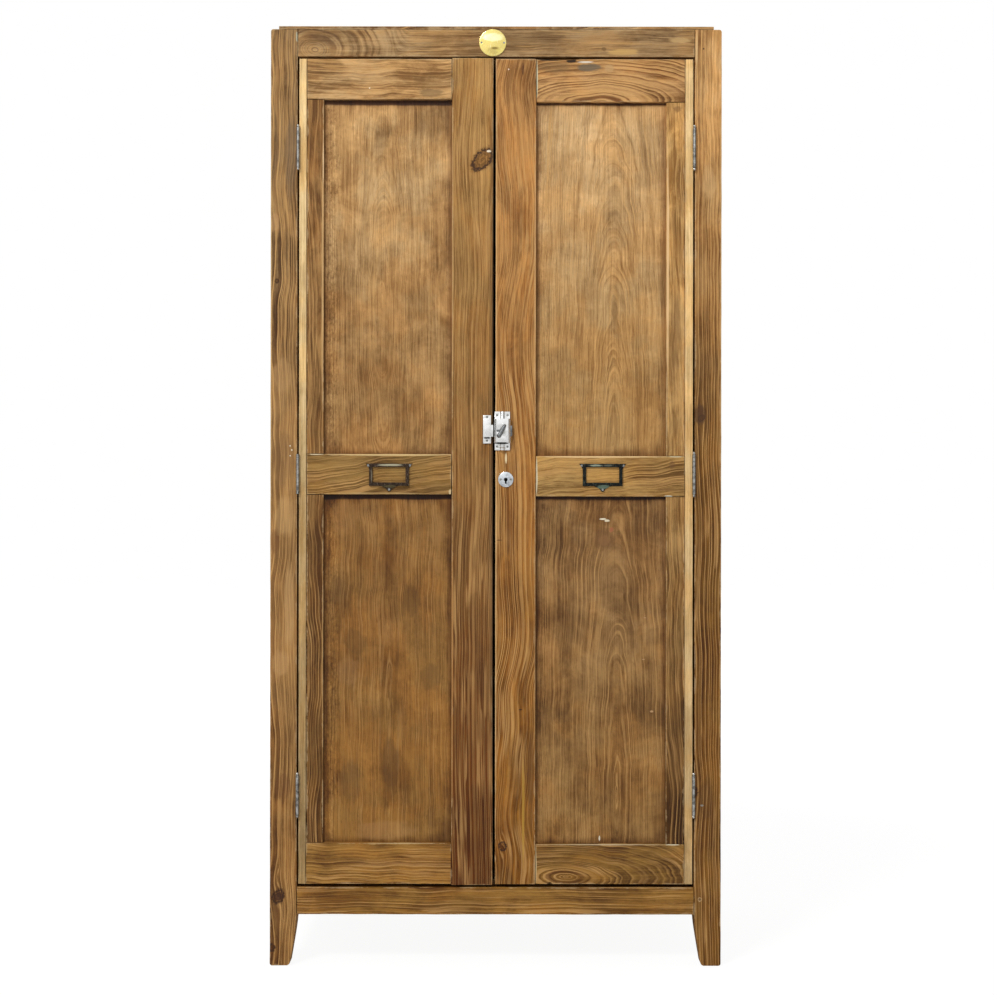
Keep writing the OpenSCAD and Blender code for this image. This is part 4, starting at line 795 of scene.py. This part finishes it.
RIGHT_DOOR = {
    "right_lipping": dict(
        LIPPING, shades=((239, 198, 135), (201, 166, 113)), pith=(330, -190, 0), seed=12, dark=0.25),
    "right_hinge_stile": dict(
        shades=((209, 161, 96), (79, 47, 7)), pith=(300, -170, 0), seed=14, ring=5.4, slant=0.01,
        lean=-0.01, waver=6, wave=240, steady=0.4,
        scars=(
            # The fourth and the last spots are pale lines along the inner arris: rubbed wear with a painted
            # highlight.
            (344, 1212, 16, 150, (120, 84, 48), 0.6), (346, 1643, 13, 9, (126, 88, 50), 0.6),
            (357, 1465, 6, 50, (140, 104, 62), 0.5), (329.2, 1318, 3.6, 350, (238, 196, 142), 0.95),
            (344, 420, 15, 190, (98, 66, 32), 0.4), (327.6, 566, 1.8, 345, (170, 128, 78), 0.65))),
    "right_meeting_stile": dict(
        shades=((172, 120, 64), (133, 84, 23)), pith=(170, -150, 900), seed=16, ring=5.6, slant=0.01,
        waver=22, wave=420, lumps=4, steady=0.45, clouds=0.6, pale=1.1,
        knots=((13.6, 229, 8, 2.5, 0),),
        scars=(
            # The last two spots are pale lines along the inner arris: rubbed wear with a painted highlight.
            (19.5, 973, 2.4, 13, (232, 208, 162), 0.95), (23.4, 1718, 1.7, 1.7, (236, 214, 190), 1),
            (51, 1718, 1.5, 15, (84, 48, 28), 0.9), (47.8, 491, 4, 1.4, (52, 32, 20), 0.95),
            (7, 816, 8, 1, (70, 40, 24), 0.9), (53.5, 300, 2.8, 125, (186, 144, 58), 0.65),
            (68, 360, 7, 120, (108, 72, 36), 0.55), (0.4, 950, 2, 800, (224, 180, 120), 0.6),
            (75, 1318, 2.2, 350, (206, 160, 104), 0.65), (75, 566, 2, 340, (156, 114, 66), 0.5))),
    "right_door_top_rail": dict(
        shades=((181, 133, 79),), pith=(1650, FRONT, 190), seed=18, ring=7, slant=0.34, waver=3, wave=110,
        lumps=10, pale=0.7, dark=1.7, steady=0.7,
        nicks=(((122, FRONT, 1739.5), (42, 5, 4.6)),),
        scars=(
            # The first two spots paint deep shade into the nick in the rail's top edge.
            (1737.4, 112, 4, 44, (26, 18, 12), 0.95), (1735, 143, 5.4, 12, (30, 20, 14), 0.95),
            (1722, 178, 9, 27, (112, 98, 78), 0.85), (1722, 112, 12, 40, (120, 92, 58), 0.5),
            (1720, 216, 9, 12, (196, 156, 106), 0.7), (1732, 170, 2.2, 17, (228, 216, 196), 1),
            (1697, 78, 42, 2, (205, 204, 172), 0.8))),
    "right_door_middle_rail": dict(
        shades=((165, 126, 69), (159, 120, 63)), pith=(690, -190, 200), seed=20, ring=8, slant=0.02,
        lean=0.12, waver=7, wave=120, lumps=10, steady=0.3,
        scars=(
            # The last spot is a pale line along the top arris: a painted highlight with rubbed wear.
            (938, 78, 42, 2.4, (216, 204, 172), 0.95), (977, 344, 3, 16, (214, 200, 164), 0.8),
            (900.6, 331, 1.8, 9, (230, 226, 206), 0.9), (960, 338, 9, 7, (112, 78, 44), 0.6),
            (913, 328, 4, 26, (122, 86, 46), 0.5), (976.2, 200, 2.6, 135, (238, 202, 146), 0.9))),
    "right_door_bottom_rail": dict(
        shades=((127, 89, 36),), pith=(171, FRONT, 132), seed=22, ring=4.4, slant=0.3, waver=4, wave=140,
        dark=1.25, steady=0.5, lumps=11, pale=0.4,
        nicks=(((104, FRONT, 156), (5.4, 4, 6)),),
        scars=(
            # The second spot paints deep shade into the nick; the last is a pale broken line along the top
            # arris, rubbed wear with a painted highlight.
            (195, 77.6, 40, 1.8, (206, 184, 140), 0.8), (157.5, 104, 3.4, 6, (36, 24, 14), 0.9),
            (233, 340, 2, 17, (228, 216, 186), 0.9), (233, 205, 1.6, 130, (208, 188, 150), 0.8))),
}


def round_post_ends(piece, low, high):
    """Round the outer corner at the top of a post and both corners of its foot."""
    low, high = metres(low), metres(high)
    outer = low.x if low.x < 0 else high.x
    foot = [v.co.x for v in piece.data.vertices if abs(v.co.z) < 0.0001]
    ends = [(outer, high.z), (min(foot), 0.0), (max(foot), 0.0)]

    def at_end(a, b):
        return any(all(abs(p.x - x) < 0.0002 and abs(p.z - z) < 0.0002 for p in (a, b)) for x, z in ends)

    if pick_edges(piece, at_end):
        bpy.ops.mesh.bevel(offset=wood().post_end, segments=4, profile=0.5, affect="EDGES",
                           clamp_overlap=False)
    bpy.ops.object.mode_set(mode="OBJECT")


def front_boards(body, looks, ends=None):
    """Make boards of the front, each a worn copy of its node, with the ends that the rails show."""
    for node, look in looks.items():
        low, high = corners(node)
        along = "Z"
        if node.endswith("rail"):
            along = "X"
            low[0], high[0] = ends
        front_board(node, body, along, low, high, **look)
    return {"FINISHED"}


def front_board(node, body, along, low, high, shades, pith, seed, nicks=(), slot="pine", **grain):
    """Wear one board of the front, and give it a finish of its own."""
    piece = copy_of(node, node + "_worn")
    if node.endswith("post"):
        round_post_ends(piece, low, high)
    wear_arrises(piece, along, low, high, seed)
    for number, (centre, size) in enumerate(nicks):
        nick(piece, centre, size, seed + number)
    material = board_finish(node + " pine", along, low, high, shades, pith, seed=seed, **grain)
    finish_piece(piece, body, node, material)


class CABINET_OT_posts(bpy.types.Operator):
    """Make the two front posts, with their worn corners and feet"""

    bl_idname = "cabinet.posts"
    bl_label = "Front posts"

    def execute(self, context):
        return front_boards("carcass", POSTS)


class CABINET_OT_front_rails(bpy.types.Operator):
    """Make the top rail and the bottom rail between the posts"""

    bl_idname = "cabinet.front_rails"
    bl_label = "Front rails"

    def execute(self, context):
        return front_boards("carcass", FRONT_RAILS, BETWEEN_POSTS)


class CABINET_OT_left_door(bpy.types.Operator):
    """Make the lipping, the stiles and the rails of the left door"""

    bl_idname = "cabinet.left_door"
    bl_label = "Left door boards"

    def execute(self, context):
        return front_boards("left_door", LEFT_DOOR, LEFT_RAILS)


class CABINET_OT_right_door(bpy.types.Operator):
    """Make the lipping, the stiles and the rails of the right door"""

    bl_idname = "cabinet.right_door"
    bl_label = "Right door boards"

    def execute(self, context):
        return front_boards("right_door", RIGHT_DOOR, RIGHT_RAILS)


# Panels and carcass

PANELS = {
    "left_upper_panel": dict(
        across=LEFT_VIEW, upright=UPPER_VIEW, shades=((181, 142, 92), (160, 118, 68)), pith=(-218, 1250),
        ring=4.4, slant=0.1, seed=3.1, figure=0.28, clouds=0.6),
    "right_upper_panel": dict(
        across=RIGHT_VIEW, upright=UPPER_VIEW, shades=((198, 157, 105), (169, 128, 75)), pith=(226, 960),
        ring=3.7, slant=0.105, seed=5.4, figure=0.45, clouds=0.3, blotch=0.4, scrubbed=0.25, pitted=0.2),
    "left_lower_panel": dict(
        across=LEFT_VIEW, upright=LOWER_VIEW, shades=((135, 93, 44), (137, 95, 42)), pith=(-205, 60),
        ring=5, slant=0.012, seed=7.7, figure=0.2, blotch=0.75,
        scars=(
            (-303, 720, 22, 32, (104, 74, 38), 0.45), (-270, 618, 26, 34, (96, 66, 32), 0.45),
            (-161, 700, 20, 36, (92, 64, 32), 0.5), (-125, 552, 24, 30, (98, 68, 34), 0.4),
            (-202, 385, 22, 60, (94, 64, 32), 0.5), (-278, 354, 24, 50, (104, 74, 40), 0.4),
            (-212, 258, 70, 22, (168, 126, 78), 0.35), (-283, 563, 26, 34, (166, 124, 76), 0.3),
            (-290, 860, 32, 40, (158, 116, 70), 0.3), (-112, 835, 18, 38, (164, 122, 72), 0.35))),
    "right_lower_panel": dict(
        across=RIGHT_VIEW, upright=LOWER_VIEW, shades=((138, 101, 59), (140, 101, 53)), pith=(233, 330),
        ring=5, slant=0.1, seed=9.2, figure=0.34, clouds=0.6, blotch=0.95, pitted=0.2,
        scars=(
            (209, 818, 24, 24, (112, 78, 46), 0.55), (209, 816, 13, 13, (140, 100, 62), 0.6),
            (206, 856.5, 7.5, 2, (232, 222, 196), 1), (214, 853.5, 6, 2.6, (226, 212, 180), 1),
            (222, 836, 4.5, 6, (164, 98, 66), 0.8), (300, 487, 4, 2.4, (196, 156, 112), 0.8),
            (200, 243, 1.8, 6, (230, 222, 200), 0.9), (284, 587, 3.4, 1.2, (190, 150, 108), 0.8),
            (287, 667, 3, 1.2, (188, 148, 106), 0.8))),
}

STAINED = dict(shades=((146, 106, 62), (128, 90, 50)))  # the boards of the outside
PLAIN = dict(dark=0.6, clouds=0.28, streaks=0.4, fibres=0.35, lines=0.35, patch=(110, 110, 260))
# Nodes that become pieces with eased edges, each with a slot name beside it; the others stay CAD nodes with
# a finish
EASED = {"rear_posts": "pine", "left_side_rails": "pine", "right_side_rails": "pine",
         "lower_shelf": "plain_wood", "middle_shelf": "plain_wood", "upper_shelf": "plain_wood"}


def carcass_boards(name, along, nodes, pith, shades=None, **grain):
    """One finish for like boards of the carcass, in the inside's colour if they have no shades."""
    low, high = corners(*nodes)
    shades = shades or [[255 * c for c in wood().inside]]
    finish = board_finish(name, along, low, high, shades, pith, **grain)
    for node in nodes:
        if node in EASED:
            softened(node, node + "_eased", "carcass", finish, wood().arris)
        else:
            dress(finish, node)
    return finish


class CABINET_OT_panels(bpy.types.Operator):
    """Finish the four veneered panels of the doors"""

    bl_idname = "cabinet.panels"
    bl_label = "Door panels"

    def execute(self, context):
        for node, look in PANELS.items():
            name = node.replace("_", " ").replace("panel", "veneer")
            dress(panel_finish(name, **look), node)
        return {"FINISHED"}


class CABINET_OT_carcass(bpy.types.Operator):
    """Finish the sides, the back, the floor, the shelves and what carries them"""

    bl_idname = "cabinet.carcass"
    bl_label = "Carcass"

    def execute(self, context):
        carcass_boards("rear post pine", "Z", ["rear_posts"], (-300, 260, 0), ring=5.4, seed=31,
                       boards=(-650, 650), **STAINED)
        carcass_boards("side rail pine", "Y", ["left_side_rails", "right_side_rails"], (20, -300, 0),
                       seed=33, boards=(0, 600), **STAINED)
        carcass_boards("side panel veneer", "side", ["left_side_panels", "right_side_panels"],
                       (10, -380, 900), shades=((150, 112, 68), (132, 96, 54)), ring=9, slant=0.05,
                       dark=0.45, rub=0, seed=35, clouds=0.45, streaks=0.4, patch=(85, 85, 130))
        carcass_boards("top panel pine", "flat", ["top_panel"], (-40, 1900, 0), ring=6.5, slant=0.05,
                       seed=37, **STAINED)
        carcass_boards("back board pine", "Z", ["back_boards"], (-330, 270, 0), ring=5.5, slant=0.008,
                       rub=0.3, seed=39, boards=(-380.5, 126.83), **PLAIN)
        carcass_boards("floor board pine", "flat", ["floor_boards"], (-80, 200, 0), ring=5.8, slant=0.012,
                       seed=41, boards=(-188.2, 137.9), **PLAIN)
        carcass_boards("shelf pine", "flat", ["lower_shelf", "middle_shelf", "upper_shelf"], (-60, 500, 0),
                       ring=6, slant=0.02, seed=43, boards=(-152, 126), **PLAIN)
        carcass_boards("cleat pine", "Y", ["shelf_cleats"], (500, -300, 0), ring=4.5, seed=45, **PLAIN)
        rail = carcass_boards("inner rail pine", "X", ["rear_rails"], (60, 260, 0), seed=47, **PLAIN)
        dress(rail, "door_stop")
        return {"FINISHED"}


# Fittings

class CABINET_OT_hinges(bpy.types.Operator):
    """Finish the leaves and pins of the six hinges"""

    bl_idname = "cabinet.hinges"
    bl_label = "Hinges"

    def execute(self, context):
        dress(metal_finish("hinge steel", metal().steel, (0.20, 0.17, 0.14), 0.36, 7, 0.75),
              "left_post_leaves", "right_post_leaves", "left_door_leaves", "right_door_leaves")
        dress(metal_finish("pin steel", shaded(metal().steel, 1.12), (0.24, 0.21, 0.18), 0.26, 6, 0.7),
              "hinge_pins")
        return {"FINISHED"}


class CABINET_OT_latch(bpy.types.Operator):
    """Make the slide latch: its case, its bolt with the knob, and its keeper"""

    bl_idname = "cabinet.latch"
    bl_label = "Slide latch"

    def execute(self, context):
        nickel = metal_finish("latch nickel", metal().nickel, (0.60, 0.58, 0.54), 0.22, 10, 0.3,
                              shine=(0.97, 0.97, 0.96),
                              # The first two spots are painted shadow lines under the raised case and under
                              # the keeper.
                              scars=((11.9, 1001.3, 17, 2.6, (34, 32, 30), 0.95),
                                     (-17, 1011.5, 9, 2, (40, 38, 36), 0.9),
                                     (11.5, 993, 11, 1.4, (150, 130, 100), 0.5)))
        bolt = metal_finish("bolt nickel", shaded(metal().nickel, 0.56, 0.57, 0.58), (0.22, 0.21, 0.20),
                            0.32, 8, 0.5, shine=(0.8, 0.8, 0.78))
        softened("latch_case", "latch_case_worn", "right_door", nickel, 0.0005)
        softened("latch_keeper", "latch_keeper_worn", "left_door", nickel, 0.0005)
        softened("latch_bolt", "latch_bolt_worn", "latch_slide", bolt, 0.0003)
        return {"FINISHED"}


class CABINET_OT_keyhole(bpy.types.Operator):
    """Make the domed plate round the keyhole"""

    bl_idname = "cabinet.keyhole"
    bl_label = "Keyhole plate"

    def execute(self, context):
        nickel = metal_finish("plate nickel", shaded(metal().nickel, 0.90, 0.92, 0.94), (0.42, 0.44, 0.48),
                              0.22, 7, 0.5, shine=(0.96, 0.97, 0.98))
        softened("keyhole_plate", "keyhole_plate_worn", "right_door", nickel, 0.0002)
        return {"FINISHED"}


class CABINET_OT_label_holders(bpy.types.Operator):
    """Make the two pressed label holders on the middle rails"""

    bl_idname = "cabinet.label_holders"
    bl_label = "Label holders"

    def execute(self, context):
        dark = metal_finish("holder bronze", metal().bronze, (0.12, 0.10, 0.10), 0.36, 6, 0.5,
                            shine=(0.66, 0.60, 0.54),
                            # The first spot is a painted highlight along the top bar.
                            scars=((-203, 959.4, 30, 2.4, (176, 170, 144), 0.85),
                                   (-238, 939, 1.7, 15, (126, 114, 96), 0.8),
                                   (-203, 918.5, 17, 3.4, (98, 88, 62), 0.7)))
        softened("left_label_holder", "left_label_holder_worn", "left_door", dark)
        green = metal_finish("holder patina", (0.06, 0.055, 0.05), metal().patina, 0.42, 7, 0.08,
                             metallic=0.8, shine=(0.45, 0.5, 0.46),
                             scars=((191, 959, 15, 2.4, (142, 150, 132), 0.85),
                                    (215, 959, 10, 2.4, (94, 98, 86), 0.75),
                                    (206, 918, 17, 4.5, (108, 126, 108), 0.85)))
        softened("right_label_holder", "right_label_holder_worn", "right_door", green)
        return {"FINISHED"}


class CABINET_OT_medallion(bpy.types.Operator):
    """Make the bare brass medallion on the top rail"""

    bl_idname = "cabinet.medallion"
    bl_label = "Medallion"

    def execute(self, context):
        brass = metal_finish("medallion brass", metal().brass, (0.62, 0.50, 0.22), 0.2, 13, 0.3,
                             shine=(0.99, 0.97, 0.80),
                             # The first spot is a painted highlight on the upper part of the dome, and the
                             # second is painted shade on its lower part.
                             scars=((-6, 1779, 24, 10, (255, 252, 196), 0.75),
                                    (-4, 1754, 17, 9, (186, 164, 94), 0.6),
                                    (-3, 1758, 8, 3, (120, 96, 44), 0.7),
                                    (6, 1753, 10, 2.5, (240, 222, 120), 0.6)))
        softened("medallion", "medallion_worn", "carcass", brass, 0.0003)
        return {"FINISHED"}


class CABINET_OT_small_metal(bpy.types.Operator):
    """Finish the screws, the nails, the lock and the bolts inside the doors"""

    bl_idname = "cabinet.small_metal"
    bl_label = "Screws and inside fittings"

    def execute(self, context):
        dress(metal_finish("screw steel", shaded(metal().steel, 0.9), (0.2, 0.17, 0.14), 0.4, 3, 0.5),
              "left_door_leaf_screws", "right_door_leaf_screws", "post_leaf_screws", "left_fitting_screws",
              "right_fitting_screws", "medallion_nails", "top_panel_nails")
        dress(metal_finish("lock steel", (0.42, 0.41, 0.40), (0.22, 0.15, 0.10), 0.42, 12, 0.55),
              "lock_case", "lock_strike", "inner_bolt_plates", "upper_inner_bolt", "lower_inner_bolt")
        dress(metal_finish("bolt brass", shaded(metal().brass, 0.9, 0.85, 0.8), (0.3, 0.22, 0.12), 0.35, 8,
                           0.5), "lock_bolt")
        return {"FINISHED"}


# Stage

WHITE = (1.0, 1.0, 1.0, 1.0)


def seen_directly(bench):
    """1 where the camera looks at something itself, and 0 in what lights other things."""
    return bench.math("MAXIMUM", bench.node("LightPath", out="Is Camera Ray"),
                      bench.node("LightPath", out="Is Transmission Ray"))


def lay_floor():
    """A pale floor that fades to white away from the cabinet."""
    bpy.ops.object.select_all(action="DESELECT")
    bpy.ops.mesh.primitive_plane_add(size=24.0, location=ORIGIN)
    floor = bpy.context.object
    floor.name = "floor"
    bpy.ops.object.mode_set(mode="EDIT")
    bpy.ops.mesh.select_all(action="SELECT")
    bpy.ops.mesh.subdivide(number_cuts=4)
    bpy.ops.object.mode_set(mode="OBJECT")
    paint = Finish("studio floor")
    paint.shader["Base Color"].default_value = (0.8, 0.8, 0.8, 1.0)
    paint.shader["Roughness"].default_value = 0.9
    far = paint.step(paint.length(paint.mm), 1200.0, 3000.0, 0.86, 1.0)
    matt = Value(paint, paint.tree.nodes["Principled BSDF"].outputs[0])
    glow = paint.node("Emission", {"Color": WHITE, "Strength": 1.08})
    both = paint.node("MixShader", {0: seen_directly(paint) * far, 1: matt, 2: glow})
    paint.feed(paint.tree.nodes["Material Output"].inputs["Surface"], both)
    floor.data.materials.append(paint.material)


def light_room(stage):
    """Soft surroundings that are white to the camera, and one large lamp from the upper left."""
    world = bpy.data.worlds.new("studio")
    world.use_nodes = True
    bpy.context.scene.world = world
    room = Bench(world.node_tree)
    background = room.tree.nodes["Background"].inputs
    side, _, height = room.split(room.node("TexCoord", out="Generated"))
    level = room.step(height, -0.5, 0.9, 0.7, 1.15) * stage.fill
    mirrored = room.step(abs(side), 0.85, 0.3, 0.3, 1.05)
    level = room.mix(room.node("LightPath", out="Is Glossy Ray"), level, mirrored)
    background["Color"].default_value = WHITE
    room.feed(background["Strength"], room.mix(seen_directly(room), level, WHITE))
    front = FRONT / 1000
    place = Vector((-2.7, front - 4.2, 5.3))
    bpy.ops.object.select_all(action="DESELECT")
    bpy.ops.object.light_add(type="AREA", location=place)
    lamp = bpy.context.object
    lamp.name = "key"
    lamp.rotation_euler = (Vector((0.0, front, 1.0)) - place).to_track_quat("-Z", "Y").to_euler()
    lamp.data.shape, lamp.data.size, lamp.data.size_y = "RECTANGLE", 1.5, 1.0
    lamp.data.energy = stage.key


class CABINET_OT_stage(bpy.types.Operator):
    """Set up the white floor, the soft light and the camera"""

    bl_idname = "cabinet.stage"
    bl_label = "Stage"

    def execute(self, context):
        scene = context.scene
        stage = scene.cabinet_stage
        lay_floor()
        light_room(stage)
        front = FRONT / 1000
        bpy.ops.object.camera_add(location=(stage.side, front - stage.away, stage.eye))
        camera = context.object
        camera.name = "camera"
        aim = Vector((stage.side, front, stage.aim)) - camera.location
        turned = aim.to_track_quat("-Z", "Y") @ Quaternion((0.0, 0.0, 1.0), stage.roll)
        camera.rotation_euler = turned.to_euler()
        camera.data.sensor_width, camera.data.lens = 36.0, stage.lens
        camera.data.clip_end = 60.0
        scene.camera = camera
        scene.view_settings.view_transform = "Standard"
        return {"FINISHED"}


# Add-on

OPERATORS = (CABINET_OT_posts, CABINET_OT_front_rails, CABINET_OT_left_door, CABINET_OT_right_door,
             CABINET_OT_panels, CABINET_OT_carcass, CABINET_OT_hinges, CABINET_OT_latch, CABINET_OT_keyhole,
             CABINET_OT_label_holders, CABINET_OT_medallion, CABINET_OT_small_metal, CABINET_OT_stage)


class CABINET_PT_sidebar(bpy.types.Panel):
    """Lists the steps that make the cabinet, and its settings"""

    bl_idname = "CABINET_PT_sidebar"
    bl_label = "Workshop cabinet"
    bl_space_type = "VIEW_3D"
    bl_region_type = "UI"
    bl_category = "Cabinet"

    def draw(self, context):
        for group in (context.scene.cabinet_wood, context.scene.cabinet_metal, context.scene.cabinet_stage):
            box = self.layout.box()
            for name in group.__annotations__:
                box.prop(group, name)
        for operator in OPERATORS:
            self.layout.operator(operator.bl_idname)


CLASSES = (CabinetWood, CabinetMetal, CabinetStage) + OPERATORS + (CABINET_PT_sidebar,)


def register():
    for cls in CLASSES:
        bpy.utils.register_class(cls)
    bpy.types.Scene.cabinet_wood = PointerProperty(type=CabinetWood)
    bpy.types.Scene.cabinet_metal = PointerProperty(type=CabinetMetal)
    bpy.types.Scene.cabinet_stage = PointerProperty(type=CabinetStage)
    GROUPS.update(rings=build_growth_rings(), knot=build_knot(), scar=build_scar(), edges=build_edges(),
                  stain=build_stain(), handling=build_handling())


def unregister():
    del bpy.types.Scene.cabinet_stage
    del bpy.types.Scene.cabinet_metal
    del bpy.types.Scene.cabinet_wood
    for cls in reversed(CLASSES):
        bpy.utils.unregister_class(cls)


def main():
    register()
    for operator in OPERATORS:
        getattr(bpy.ops.cabinet, operator.bl_idname.split(".")[1])()


if __name__ == "__main__":
    main()
